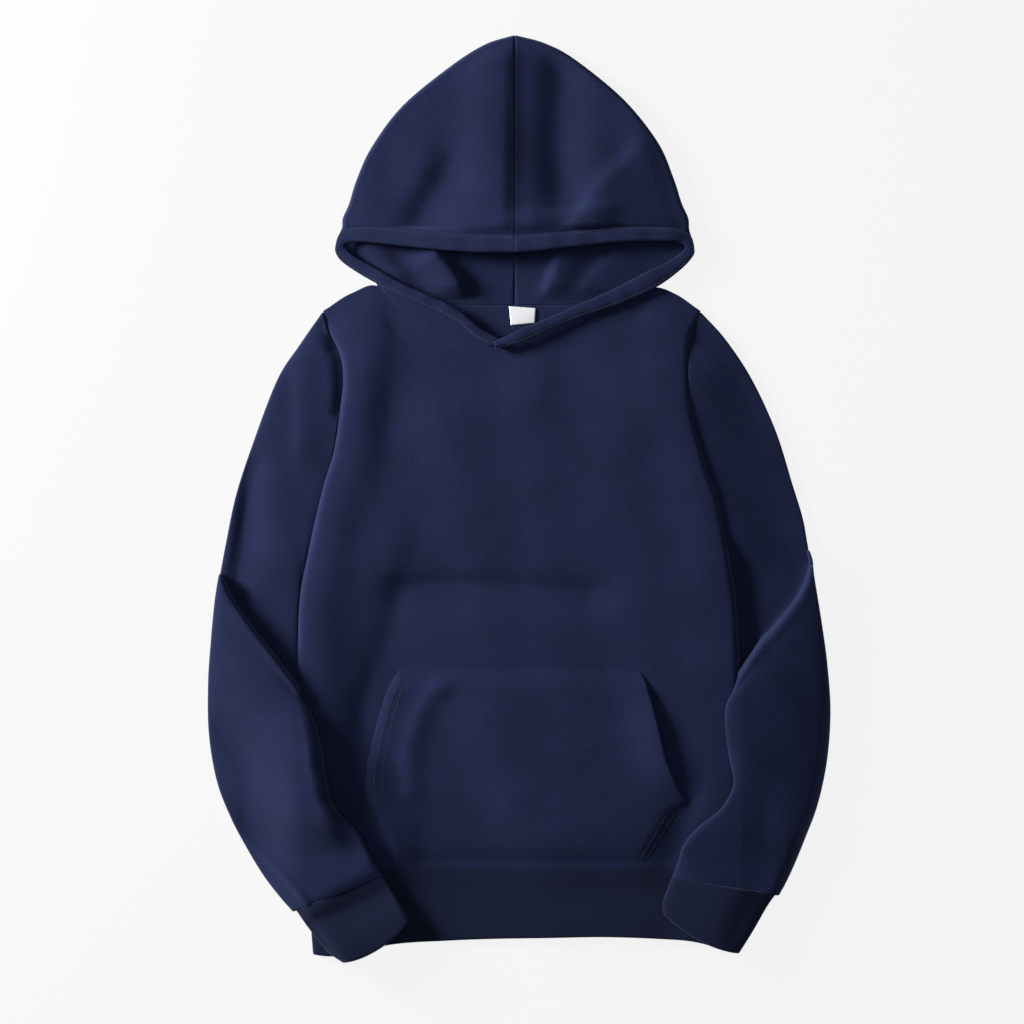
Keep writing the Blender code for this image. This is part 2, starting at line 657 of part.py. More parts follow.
def hood_row(row, seam_x):
    """One line of cloth, from the face edge out to the fold and back to the centre seam.

    Its distance from the fold is softened to a round turn, and its height passes from the upper
    layer to the lower one on the way round.
    """
    edge, edge_z, fold, fold_z = row[0:2], row[2], row[3:5], row[5]
    seam = np.array([seam_x, row[6]])
    start = -np.linalg.norm(edge - fold)
    curl = CURL_TURN * (1 - min(-start / CURL_REACH, 1))
    turn = max((fold_z - BACK_LEVEL) * FOLD_TURN, curl)
    soft = (fold_z - BACK_LEVEL) * FOLD_SOFT
    upper_end = max(-turn, start + HOOD_UPPER_STEPS * LEAST_STEP)
    turn_end = max(turn, upper_end + HOOD_FOLD_STEPS * LEAST_STEP)
    end = max(np.linalg.norm(seam - fold), turn_end + HOOD_LOWER_STEPS * LEAST_STEP)
    along = np.concatenate([
        np.linspace(start, upper_end, HOOD_UPPER_STEPS + 1)[:-1],
        np.linspace(upper_end, turn_end, HOOD_FOLD_STEPS + 1)[:-1],
        np.linspace(turn_end, end, HOOD_LOWER_STEPS + 1),
    ])
    from_fold = np.sqrt(along**2 + soft**2) - soft
    on_upper = np.where(along < 0, from_fold / max(from_fold[0], 1e-6), 0)
    on_lower = np.where(along < 0, 0, from_fold / from_fold[-1])
    plan = fold + (edge - fold) * on_upper[:, None] + (seam - fold) * on_lower[:, None]
    high = fold_z + (edge_z - fold_z) * on_upper
    held_up = 1 - ease((along + turn) / (2 * turn))
    z = BACK_LEVEL + (high - BACK_LEVEL) * held_up / held_up[0]
    return np.column_stack([plan, z])


def neck_seam(line, side):
    """The hood's lowest line of cloth, laid along the front's neckline and the back's."""
    line = line.copy()
    front = [place[0] for place in (FRONT_TOP[7:2:-1] if side < 0 else FRONT_TOP[9:14])]
    back = [place[0] for place in (BACK_TOP[1:5] if side < 0 else BACK_TOP[9:5:-1])]
    upper = np.s_[:HOOD_UPPER_STEPS]
    lower = np.s_[HOOD_UPPER_STEPS + HOOD_FOLD_STEPS + 1 :]
    neck_point = FRONT_TOP[2 if side < 0 else 14][0]
    last = front[LAST] + (neck_point - front[LAST]) * NECK_REACH
    line[upper, 0] = [line[0, 0]] + front + [last]
    line[lower, 0] = back + [line[LAST, 0]]
    line[upper, 1] = front_top(line[upper, 0]) + NECK_GAP
    line[lower, 1] = back_top(line[lower, 0]) + NECK_GAP
    line[upper, 2] = front_height(line[upper, 0], line[upper, 1] - NECK_GAP)
    return line


def hood_grid(table, seam_x, side):
    rows = table_rows(table, HOOD_ROWS)
    grid = np.array([hood_row(row, seam_x) for row in rows])
    shift = neck_seam(grid[0], side) - grid[0]
    fading = 1 - ease(np.arange(HOOD_ROWS) / NECK_ROWS)
    grid += fading[:, None, None] * shift
    grid[:, LAST, 0] = seam_x
    grid[LAST, :, 0] = seam_x
    return grid


def band_grid(table, seam_x):
    """The turned face edge: a flattened ring of cloth carried from the neck up to the centre."""
    rows = table_rows(table, BAND_RINGS)
    outer = rows[:, 0:3]
    inner = rows[:, 3:6]
    across = inner - outer
    width = np.linalg.norm(across, axis=1, keepdims=True)
    across = across / width
    along = np.gradient((outer + inner) / 2, axis=0)
    up = np.cross(across, along)
    up = up / np.linalg.norm(up, axis=1, keepdims=True)
    up = up * np.sign(up[:, 2:3])
    angle = np.linspace(0, 2 * np.pi, BAND_POINTS, endpoint=False)
    side_to_side = np.sign(np.cos(angle)) * np.abs(np.cos(angle)) ** BAND_SQUARE
    up_and_down = np.sign(np.sin(angle)) * np.abs(np.sin(angle)) ** BAND_SQUARE
    grid = (outer + inner)[:, None] / 2
    grid = grid + across[:, None] * ((width - SEAM) / 2 * side_to_side)[..., None]
    grid = grid + up[:, None] * (TURNED / 2 * up_and_down)[None, :, None]
    grid[LAST, :, 0] = seam_x
    return grid


# ------------------------------------------------------------------ meshes


def grid_normals(grid, closed):
    """The unit normal at each point, from its neighbours along the rows and the columns."""
    down = np.gradient(grid, axis=0)
    if closed:
        across = np.roll(grid, -1, 1) - np.roll(grid, 1, 1)
    else:
        across = np.gradient(grid, axis=1)
    normal = np.cross(down, across)
    length = np.linalg.norm(normal, axis=-1, keepdims=True)
    if length[-1, -1] < 1e-6:  # a straight corner has the direction of the cloth inside it
        normal[-1, -1], length[-1, -1] = normal[-2, -2], length[-2, -2]
    return normal / length


def offset_room(grid, normals, closed, side):
    """How far each point can move to one side before it would cross its neighbours' paths."""
    room = np.full(grid.shape[:2], np.inf)
    rows, columns = room.shape
    for down, across in ((1, 0), (0, 1), (1, 1), (1, -1)):
        from_row, to_row = np.s_[: rows - down], np.s_[down:]
        place = np.roll(grid, -across, 1)
        turned = np.roll(normals, -across, 1)
        step = place[to_row] - grid[from_row]
        closing = -side * ((turned[to_row] - normals[from_row]) * step).sum(-1)
        reach = KEPT_APART * (step**2).sum(-1) / np.maximum(closing, 1e-9)
        if not closed and across == 1:
            reach[:, -1] = np.inf
        if not closed and across == -1:
            reach[:, 0] = np.inf
        room[from_row] = np.minimum(room[from_row], reach)
        far = np.full(room.shape, np.inf)
        far[to_row] = reach
        room = np.minimum(room, np.roll(far, across, 1))
    return least_around(least_around(room, closed).T, False).T


def least_around(values, closed):
    """The least of each value and the two beside it in its row."""
    before = np.roll(values, 1, 1)
    after = np.roll(values, -1, 1)
    if not closed:
        before[:, 0] = np.inf
        after[:, LAST] = np.inf
    return np.minimum(values, np.minimum(before, after))


def keep_in_plane(normals, axis):
    """The normals turned square to an axis, for an edge that meets a seam's plane."""
    axis = np.asarray(axis, float)
    normals = normals - (normals @ axis)[..., None] * axis
    return normals / np.linalg.norm(normals, axis=-1, keepdims=True)


def straight_up(normals):
    """The normals stood upright, for an edge that lies beside another piece's edge."""
    return np.sign(normals[..., 2:]) * np.array([0.0, 0.0, 1.0])


def grid_triangles(grid, closed):
    """Two triangles for each cell of a grid, parted along the shorter diagonal."""
    rows, columns = grid.shape[:2]
    index = np.arange(rows * columns).reshape(rows, columns)
    a, b = index[:-1], np.roll(index, -1, 1)[:-1]
    d, c = index[1:], np.roll(index, -1, 1)[1:]
    corners = np.stack([a, b, c, d], -1)
    if not closed:
        corners = corners[:, :LAST]
    corners = corners.reshape(-1, 4)
    place = grid.reshape(-1, 3)[corners]
    one_way = np.linalg.norm(place[:, 0] - place[:, 2], axis=1)
    other_way = np.linalg.norm(place[:, 1] - place[:, 3], axis=1)
    start = np.where(one_way <= other_way, 0, 1)[:, None]
    first = np.take_along_axis(corners, start + np.array([0, 1, 2]), 1)
    second = np.take_along_axis(corners, (start + np.array([0, 2, 3])) % 4, 1)
    return np.vstack([first, second])


def strip(first, second, loop):
    """Triangles between two lines of points."""
    next_first = np.roll(first, -1)
    next_second = np.roll(second, -1)
    one = np.stack([first, next_first, next_second], -1)
    two = np.stack([first, next_second, second], -1)
    return np.vstack([one, two] if loop else [one[:LAST], two[:LAST]])


def add_mesh(name, points, faces, material):
    """A closed mesh with its faces pointing out, put in the hoodie's collection."""
    corners = points[faces]
    volume = np.einsum("ij,ij->", corners[:, 0], np.cross(corners[:, 1], corners[:, 2]))
    if volume < 0:
        faces = faces[:, ::-1]
    mesh = bpy.data.meshes.new(name)
    mesh.from_pydata(((points - FOOTPRINT_MIDDLE) * MM).tolist(), [], faces.tolist())
    mesh.materials.append(material)
    mesh.shade_smooth()
    item = bpy.data.objects.new(name, mesh)
    collection.objects.link(item)
    return item


def crossing_points(points, faces):
    """The points of all triangles that cut another triangle they share no point with."""
    tree = BVHTree.FromPolygons(points.tolist(), faces.tolist())
    pairs = [pair for pair in tree.overlap(tree) if pair[0] < pair[1]]
    pairs = np.array(pairs, int).reshape(-1, 2)
    one, two = faces[pairs[:, 0]], faces[pairs[:, 1]]
    apart = (one[:, :, None] != two[:, None, :]).all((1, 2))
    return np.unique(np.concatenate([one[apart], two[apart]]))


def wall(name, grid, thickness, material, closed=False, seam_planes=(), upright=()):
    """A wall of cloth about a grid of points, closed around its edges.

    seam_planes holds pairs of an edge of the grid and the axis square to that seam's plane, and
    upright holds the edges where the wall stands straight up from the floor.
    """
    normals = grid_normals(grid, closed)
    for edge in upright:
        normals[edge] = straight_up(normals[edge])
    for edge, axis in seam_planes:
        normals[edge] = keep_in_plane(normals[edge], axis)
    rows, columns = grid.shape[:2]
    above = np.minimum(offset_room(grid, normals, closed, 1), thickness / 2)
    below = np.minimum(offset_room(grid, normals, closed, -1), thickness / 2)
    offsets = np.concatenate([above.reshape(-1), below.reshape(-1)])
    middle = np.vstack([grid.reshape(-1, 3)] * 2)
    outward = np.vstack([normals.reshape(-1, 3), -normals.reshape(-1, 3)])
    one = np.arange(rows * columns).reshape(rows, columns)
    two = one + rows * columns
    inner = grid_triangles(grid, closed)
    faces = [inner, inner[:, ::-1] + rows * columns]
    faces.append(strip(two[0], one[0], closed))
    faces.append(strip(one[LAST], two[LAST], closed))
    if not closed:
        faces.append(strip(one[:, 0], two[:, 0], False))
        faces.append(strip(two[:, LAST], one[:, LAST], False))
    faces = np.vstack(faces)
    points = middle + outward * offsets[:, None]
    for _ in range(THINNING_ROUNDS):
        crossing = crossing_points(points, faces)
        if not len(crossing):
            break
        offsets[crossing] = np.maximum(offsets[crossing] * THINNING, LEAST_OFFSET)
        points = middle + outward * offsets[:, None]
    return add_mesh(name, points, faces, material)


def solid_tube(name, grid, material):
    """A filled tube through rings of points, its two ends closed by strips across the ring."""
    rings, points = grid.shape[:2]
    index = np.arange(rings * points).reshape(rings, points)
    faces = [grid_triangles(grid, True)]
    half = points // 2
    for end, turned in ((index[0], True), (index[LAST], False)):
        near = end[: half + 1]
        far = np.concatenate([end[:1], end[: half - 1 : -1]])
        cap = strip(near, far, False)
        cap = cap[(cap[:, 0] != cap[:, 1]) & (cap[:, 1] != cap[:, 2]) & (cap[:, 0] != cap[:, 2])]
        faces.append(cap[:, ::-1] if turned else cap)
    return add_mesh(name, grid.reshape(-1, 3), np.vstack(faces), material)


def cloth_material(name, colour, roughness):
    material = bpy.data.materials.new(name)
    material.use_nodes = True
    shader = material.node_tree.nodes["Principled BSDF"]
    shader.inputs["Base Color"].default_value = colour
    shader.inputs["Roughness"].default_value = roughness
    shader.inputs["Metallic"].default_value = 0.0
    material.diffuse_color = colour
    return material


# ------------------------------------------------------------------ the hoodie

for old in list(bpy.data.objects):
    bpy.data.objects.remove(old)

collection = bpy.data.collections.new("hoodie")
bpy.context.scene.collection.children.link(collection)

ALONG_X = (1, 0, 0)
ALONG_Y = (0, 1, 0)
UPRIGHT = (0, 0, 1)

front_grid = front_panel_grid()
back_grid = back_panel_grid()
at_hem = ((np.s_[0], ALONG_Y),)
side_rows = len(LOWER_ROWS)
at_sides = ((np.s_[:side_rows, 0], UPRIGHT), (np.s_[:side_rows, LAST], UPRIGHT))
roll_columns = len(ROLL_ANGLES)
wall("front_panel", front_grid, FLEECE, cloth_material("front fleece", NAVY, 0.9),
     seam_planes=at_sides + at_hem, upright=(np.s_[LAST, roll_columns:-roll_columns],))
wall("back_panel", back_grid, FLEECE, cloth_material("back fleece", NAVY, 0.9),
     seam_planes=at_sides + at_hem)
wall("hem_band", hem_grid(front_grid, back_grid), RIB, cloth_material("hem rib", NAVY_RIB, 0.9),
     closed=True, seam_planes=at_hem)
wall("kangaroo_pocket", pocket_grid(), FLEECE, cloth_material("pocket fleece", NAVY, 0.9))

for side_name, side, sleeve_table, cuff_table in (
    ("right", -1, RIGHT_SLEEVE, RIGHT_CUFF),
    ("left", 1, LEFT_SLEEVE, LEFT_CUFF),
):
    cuff, seam_normal = cuff_grid(cuff_table)
    seam_axis = (seam_normal[0], seam_normal[1], 0)
    wall("sleeve_" + side_name, sleeve_grid(side, sleeve_table), FLEECE,
         cloth_material("sleeve fleece " + side_name, NAVY, 0.9), closed=True,
         seam_planes=((np.s_[0], ALONG_X), (np.s_[LAST], seam_axis)))
    wall("cuff_" + side_name, cuff, RIB, cloth_material("cuff rib " + side_name, NAVY_RIB, 0.9),
         closed=True, seam_planes=((np.s_[0], seam_axis),))

first_lower = HOOD_UPPER_STEPS + HOOD_FOLD_STEPS + 1
for side_name, side, seam_x, hood_table, band_table in (
    ("right", -1, HOOD_RIGHT_X, RIGHT_HOOD, RIGHT_BAND),
    ("left", 1, HOOD_LEFT_X, LEFT_HOOD, LEFT_BAND),
):
    wall("hood_" + side_name, hood_grid(hood_table, seam_x, side), FLEECE,
         cloth_material("hood fleece " + side_name, NAVY, 0.9),
         seam_planes=((np.s_[:, LAST], ALONG_X), (np.s_[LAST], ALONG_X)),
         upright=(np.s_[0, :HOOD_UPPER_STEPS], np.s_[0, first_lower:]))
    solid_tube("hood_edge_" + side_name, band_grid(band_table, seam_x),
               cloth_material("hood edge fleece " + side_name, NAVY, 0.9))

label_plan = np.array(LABEL_CORNERS, float)
label_z = np.full((4, 1), FLEECE + LABEL_GAP + LABEL / 2)
label_points = np.hstack([label_plan, label_z])
wall("neck_label", label_points[[0, 1, 3, 2]].reshape(2, 2, 3), LABEL,
     cloth_material("label satin", WHITE, 0.5))
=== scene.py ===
"""Dresses the pullover hoodie: brushed fleece laid flat, ribbed hem and cuffs, stitching and stage.

Every piece of cloth is a wall about a middle surface that is worked out with numpy on a grid of two
parameters. The tables give that surface in millimetres from a point close to the middle of the
chest, with the hem towards -Y, the hood towards +Y and the wearer's right side at -X.
"""

import bpy
import numpy as np
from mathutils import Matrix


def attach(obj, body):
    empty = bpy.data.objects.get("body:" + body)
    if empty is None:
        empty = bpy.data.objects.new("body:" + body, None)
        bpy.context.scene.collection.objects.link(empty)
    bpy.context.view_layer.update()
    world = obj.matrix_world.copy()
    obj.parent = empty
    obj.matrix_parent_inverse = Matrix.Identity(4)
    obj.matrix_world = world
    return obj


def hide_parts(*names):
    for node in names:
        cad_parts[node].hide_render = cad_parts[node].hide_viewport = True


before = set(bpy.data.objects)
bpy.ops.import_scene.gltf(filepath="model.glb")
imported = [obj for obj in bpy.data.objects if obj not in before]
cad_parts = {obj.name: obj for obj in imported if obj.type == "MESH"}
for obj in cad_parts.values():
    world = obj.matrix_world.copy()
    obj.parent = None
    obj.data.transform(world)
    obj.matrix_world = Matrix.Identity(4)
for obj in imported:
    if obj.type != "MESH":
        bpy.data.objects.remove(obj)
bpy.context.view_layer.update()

bl_info = {
    "name": "Laid Fleece Hoodie",
    "version": (1, 0, 0),
    "blender": (4, 5, 0),
    "location": "3D View > Sidebar > Hoodie",
    "description": "Builds the cloth, sewing and stage of a fleece hoodie that lies flat",
    "category": "Object",
}

MM = 0.001
LAST = -1
TINY = 1e-9
RIGHT, LEFT = 0, 1  # the wearer's right and left edge, in a pair of edges
TABLE_MIDDLE = np.array([0.75, 1.1, 0.0])  # the footprint's middle in the tables, mm

# ------------------------------------------------------------------ sizes of the garment, mm

ARMPIT_Y = -78.0
HEM_SEAM_Y = -385.0
SHOULDER_Y = 196.0
SEAM = -0.3  # sewn edges lie a little over each other
LAID_ON = 1.6  # clearance under a layer that is draped over a rounded one

# Heights of the middle of the cloth
BACK_LEVEL = 1.2
FRONT_LEVEL = 12.5
NECK_LEVEL = 6.8  # the front along the neckline
HEM_LEVEL = 9.0  # the front along the hem's seam
LAPPED_LEVEL = 5.2  # the front along the bulky shoulder seams
SIDE_SEAM_LEVEL = 5.2
LEAST_LEVEL = 4.9  # the front where it lies on the back, in its deepest troughs

# How the front comes up to its level from the neckline, the hem's seam and the shoulder seams
NECK_FROM = 4.0
NECK_RISE = 80.0
NECK_SLOWER = 60.0  # added to the rise on the wearer's left, over NECK_TURN from x = NECK_X
NECK_X = 10.0
NECK_TURN = 60.0
HEM_FROM = 6.0
HEM_RISE = 55.0
LAP_MIDDLE = -1.0
LAP_FROM = 88.0  # the shoulders lap down from this distance off the middle
LAP_WIDTH = 52.0
LAP_DEPTH = 42.0
FOLD_FADE = 30.0  # distance below the top edge over which the creases come up
LEAST_FADE = 60.0  # distance below the top edge over which the least level takes hold
LEAST_SOFT = 0.8  # how softly the front comes down on the back

# The crown along each side edge, and the rolled side outside it
SIDE_ROLL = 6.0
CROWN_REACH = 22.0  # distance of the crown from the edge
CROWN_WIDTH = 26.0
CROWN_RIGHT = 3.5  # how far the crown stands above the middle, wearer's right
CROWN_LEFT = 5.0
LEFT_REACH = 12.0  # the same distance and width on the wearer's left
LEFT_WIDTH = 75.0
CROWN_AT_HEM = 0.2  # share of the crown that is left at the hem
CROWN_WHOLE = 90.0  # distance above the hem's seam from which it is whole
CHEST_Y = 60.0  # the crown falls by CHEST_FALL from here up over CHEST_REACH
CHEST_REACH = 110.0
CHEST_FALL = 0.55

ARMHOLE_FROM = -98.0  # the side seam turns into the armhole from here up
ARMHOLE_TURN = 40.0
ARMHOLE_DROP = 0.6  # how much lower the front's edge lies along the armhole
BACK_TURN = 20.0  # height over which the back's edge lies out flat above the armpit
# The armhole's seam on the wearer's left stands up by LEFT_LIFT between LIFT_FROM and LIFT_TO, and
# the sleeve beside it comes down over LEFT_FALL
LEFT_LIFT = 7.5
LEFT_FALL = 45.0
LIFT_FROM = -90.0
LIFT_TO = 120.0
LIFT_TURN = 60.0

HEM_LAP = 2.2  # how far the band reaches over the panels' lower edge
HEM_RIGHT_IN = 7.0  # how far the hem band's right end has moved in at its bottom edge
HEM_LEFT_IN = 2.0
# The band comes down by the share HEM_DIP of its room over the first HEM_SPAN of its depth, and
# up again by HEM_UP from HEM_UP_FROM on
HEM_DIP = 0.85
HEM_SPAN = 0.4
HEM_UP = 0.3
HEM_UP_FROM = 0.45

# The hand opening on the wearer's left: y of its low end, the turn there, y of its high end and
# the turn there, once for where the edge is free and once for where it stands open
OPENING = (-324.0, 18.0, -172.0, 30.0)
GAPE = (-314.0, 55.0, -174.0, 70.0)
GAPE_HEIGHT = 7.5
GAPE_NARROW = 12.0  # one over the share of the pocket's width that gapes
OPENING_RIGHT = 0.35  # how far the same height is free at the wearer's right
POCKET_SUNK = 0.3  # where it is sewn down
POCKET_PUFF = 0.7  # how far it stands off the front elsewhere
# Widths over which the pocket comes up from its seams, at the right, left, top and bottom
POCKET_SEAMS = (14.0, 26.0, 30.0, 24.0)

PUFF = 1.2  # how much fuller sleeves and cuffs are than their tables say
TUBE_ROOM = 0.3  # least air between a tube's two layers
UPPER_POWER = 0.55  # flattens the profile across a tube, above and below
LOWER_POWER = 0.35
UPPER_SHARE = 1.6  # creases reach their full height at 1 / 1.6 of the way up the profile
CUFF_LEAN = 0.1  # how much thicker a cuff is at its inner edge than at its middle
CUFF_LAP = -2.2  # how far a cuff begins beyond its table, under the sleeve
# How far a layer takes to come down beside the body: at the hem, and from DRAPE_Y up at the elbow
DRAPE_NARROW = 65.0
DRAPE_WIDE = 170.0
DRAPE_Y = -300.0
DRAPE_TURN = 180.0
DRAPE_HOLD = 0.7  # a layer over the crown rises no further than this share of its reach
CUFF_STEP = 20.0  # length over which a layer rises from the fleece onto the thicker rib
LEFT_SPREAD = 118.0  # how far the upper cloth of the left forearm takes to come down
LEFT_EVEN = 0.7  # share of that way which is a straight slope
CUFF_SPREAD = 90.0

HOOD_RIGHT_X = -3.85
HOOD_LEFT_X = -4.15
NECK_SHARE = 0.25  # share of the hood's rows over which the shape of the neck's seam fades
NECK_GAP = -0.3
NECK_REACH = 0.985  # the hood's seam ends at this share of the neck point's distance
# Where a line of cloth is shorter than CURL_REACH its turn is longer, by up to CURL_TURN
CURL_TURN = 6.0
CURL_REACH = 20.0
FOLD_TURN = 0.8  # half length of the turn at the fold, as a share of its height
FOLD_SOFT = 0.5
# Least lengths of the hood's upper layer, its turn and its lower layer
LEAST_UPPER = 4.2
LEAST_TURN = 2.4
LEAST_LOWER = 3.0
LAYER_FADE = 25.0  # creases fade over this distance from the fold
EDGE_FADE = 12.0  # and over this one from the face edge
# Creases come up over CREASE_TURN from these shares of the hood's rows, outside and inside
OUTER_FROM = 0.5
INSIDE_FROM = 0.02
CREASE_TURN = 0.1

BAND_POWER = 0.6  # squares the ring of the turned edge
# The groove that the stitches pull in the turned edge: place and width as shares, and depth
GROOVE_PLACE = 0.72
GROOVE_WIDTH = 0.12
GROOVE_DEPTH = 0.45

RIM_LEAST = 0.18  # share of a wall's thickness that is left at its rim
RIM_RADIUS = 0.62  # radius of a rim, as a share of the wall's thickness
ROOM_SHARE = 0.7  # share of the room before two neighbours' paths cross that a wall may fill

# Slow waves of the cloth: seed, wavelength and height
FRONT_WAVES = (11, 95.0, 0.5)
SLEEVE_WAVES = (23, 70.0, 0.6)
HOOD_WAVES = (37, 80.0, 0.7)
EDGE_WAVES = (5, 26.0, 0.35)

# Rows of points in each grid: how many, and how near the second one is to the rim, as a share
FRONT_ROWS = (205, 0.0012)
BACK_ROWS = (110, 0.0012)
HEM_ROWS = (44, 0.012)
POCKET_ROWS = (90, 0.004)
POCKET_COLUMNS = (130, 0.003)
SLEEVE_RINGS = (190, 0.0016)
CUFF_RINGS = (40, 0.012)
HOOD_ROWS = (150, 0.002)
HOOD_UPPER = (85, 0.004)
HOOD_LOWER = (55, 0.004)
HOOD_TURN_STEPS = 16
# Columns that are evenly spread
FRONT_COLUMNS = 170
BACK_COLUMNS = 90
SLEEVE_POINTS = (96, 60)  # across the upper cloth, and back across the lower cloth
CUFF_POINTS = (70, 50)
BAND_GRID = (260, 28)  # rings and points round each
LABEL_GRID = (22, 30)
SIDE_ANGLES = np.radians([0.0, 6.0, 14.0, 24.0, 36.0, 48.0, 60.0, 72.0])  # round the rolled side

# ------------------------------------------------------------------ outlines, mm

# Height up the garment, x of the edge on the wearer's right, x of the edge on the wearer's left
BODY_SIDES = np.array([
    (-385, -221, 230.5), (-340, -223, 230.8), (-292, -225, 230.8), (-198, -230, 230.5),
    (-146, -230, 229.5), (-94, -227, 225.5), (-57, -220, 219), (-29, -214, 213.5), (1, -207, 207),
    (21, -202, 199.5), (46, -194, 192), (74, -189, 184), (95, -186, 179.5), (124, -183, 177),
    (145, -185, 177), (160, -190, 178.5), (173, -197, 181), (196, -204, 190),
], float)
# x, y of the front's top edge: shoulder, neck point, the V of the neckline, and back up
FRONT_TOP = np.array([
    (-204, 196), (-174, 215), (-143, 220), (-128, 201), (-112, 187), (-94, 177), (-75, 170),
    (-50, 164), (-22, 159), (0, 169), (36, 183), (70, 194), (97, 203), (123, 213), (141, 221),
    (164, 214), (190, 196),
], float)
# x, y of the back's top edge across the nape
BACK_TOP = np.array([
    (-143, 220), (-128, 215.5), (-108, 208.5), (-84, 204.2), (-44, 203.2), (-4, 203), (38, 203.2),
    (80, 204.2), (104, 208.5), (125, 216), (141, 221),
], float)
# x, y along the bottom edge of the hem band
HEM_BOTTOM = np.array([
    (-215, -474.5), (-196, -476.5), (-165, -471.5), (-140, -465.5), (-75, -460.5), (28, -457.5),
    (97, -456.5), (148, -458.5), (184, -461.5), (211, -468.5), (231, -474.5),
], float)
# Height, x of the pocket's edge on the wearer's right, x on the wearer's left
POCKET_SIDES = np.array([
    (-382.5, -128, 135), (-350, -144, 157), (-318, -158, 176), (-300, -160, 166),
    (-270, -157, 153), (-231, -147, 144), (-202, -138, 136), (-170, -123, 126),
], float)

# Sleeves: x and y at the outer edge, x and y at the inner edge, thickness of the flattened
# sleeve, share of the body's height that it is lifted by, share of the armhole's curve, and how
# much thicker it is at its inner edge than at its middle. The rows come close at the elbow's fold.
RIGHT_SLEEVE = np.array([
    (-204, 196, -223.5, -78, 8.2, 0, 1, 0), (-228, 161, -225, -84, 8.8, 0, 0.8, 0),
    (-251, 125, -226.5, -91, 9, 0, 0.5, 0), (-277, 57, -228, -104, 9.5, 0, 0.25, 0),
    (-294, 5, -229, -124, 9.5, 0, 0.1, 0), (-304.5, -45, -229.5, -156, 8.6, 0, -0.1, 0),
    (-310, -75, -229.5, -191, 8.4, 0.04, -0.22, 0),
    (-310.3, -77.5, -228.8, -194.5, 10.2, 0.6, -0.22, 0),
    (-311, -81, -227.5, -199, 11.4, 0.96, -0.22, -0.15),
    (-315, -106, -221, -213, 10.2, 1, -0.15, -0.3), (-319.5, -148, -214, -224, 9.8, 1, 0, -0.2),
    (-323, -192, -205, -252, 10.2, 1, 0, 0.05), (-323, -242, -199, -288, 10.6, 1, 0, 0.2),
    (-315, -292, -193, -313, 10.6, 1, 0, 0.25), (-300.5, -331, -181, -331, 11, 1, 0, 0.35),
    (-283, -364, -166, -346, 12, 1, 0, 0.3), (-266, -391, -157, -363, 11.5, 1, 0, 0.25),
    (-249, -412, -149, -378, 10.4, 1, 0, 0.2), (-234, -428, -141, -391, 9.8, 1, 0, 0.1),
])
LEFT_SLEEVE = np.array([
    (190, 196, 222.5, -78, 5.4, 0, 1, 0), (216, 167, 223.5, -82, 5.2, 0, 0.8, 0),
    (243, 126, 224.5, -88, 5.2, 0, 0.5, 0), (268, 72, 226, -98, 5.2, 0, 0.25, 0),
    (285, 18, 227, -112, 5.2, 0, 0.1, 0), (296, -20, 228.5, -142, 5.6, 0, -0.3, 0),
    (300.5, -50, 228.5, -178, 6, 0.04, -0.75, 0), (301, -53, 228, -182, 7.4, 0.7, -0.75, 0),
    (302, -57, 227, -187, 9, 1, -0.75, 0), (307, -86, 221, -202, 9.6, 1, -0.55, 0),
    (314, -126, 214.5, -216, 10.4, 1, -0.25, 0), (321, -172, 214, -238, 10.6, 1, 0, 0),
    (325, -222, 218, -268, 10.6, 1, 0, 0), (321.5, -272, 222, -296, 10.6, 1, 0, 0),
    (312, -317, 209, -321, 11, 1, 0, 0), (299, -352, 187, -339, 12, 1, 0, 0),
    (288, -379, 171, -358, 11.5, 1, 0, 0), (279, -398, 165, -377, 10.4, 1, 0, 0),
    (271, -412, 159, -394, 9.8, 1, 0, 0),
])
# Cuffs, in the same way, with the bow of the ring towards the hand as the last column
RIGHT_CUFF = np.array([
    (-231, -426.8, -141, -391, 9.2, 0), (-218, -444.5, -132, -405, 9.6, 2),
    (-199, -468, -120, -424, 9.6, 5), (-182, -480.5, -113, -437, 9.2, 8),
])
LEFT_CUFF = np.array([
    (267.5, -411.4, 159, -394, 9.2, 0), (257.5, -423.5, 155, -403, 9.6, 2),
    (244, -446.5, 149.5, -417.5, 9.6, 4), (228.5, -471, 151, -430.5, 9.2, 7),
])

# Lines of cloth round the hood from its face edge to the centre seam, from the neck up to the top:
# height at the face edge, height of the upper layer at the fold, y of the end on the centre seam
HOOD_LINES = np.array([
    (7, 5.6, 203.7), (8, 5.8, 216), (8, 6, 230), (8, 6.2, 243), (7.4, 6.4, 253), (6, 6, 262),
    (4.8, 4.8, 268), (4.6, 4.6, 273), (5.2, 5.2, 279), (7.6, 7.2, 285), (10.2, 8, 299),
    (12, 8.6, 316), (13.2, 9, 338), (14.2, 9, 366), (14.8, 9, 400), (15, 9, 436), (15, 8.8, 456),
    (15, 8.6, 466),
])
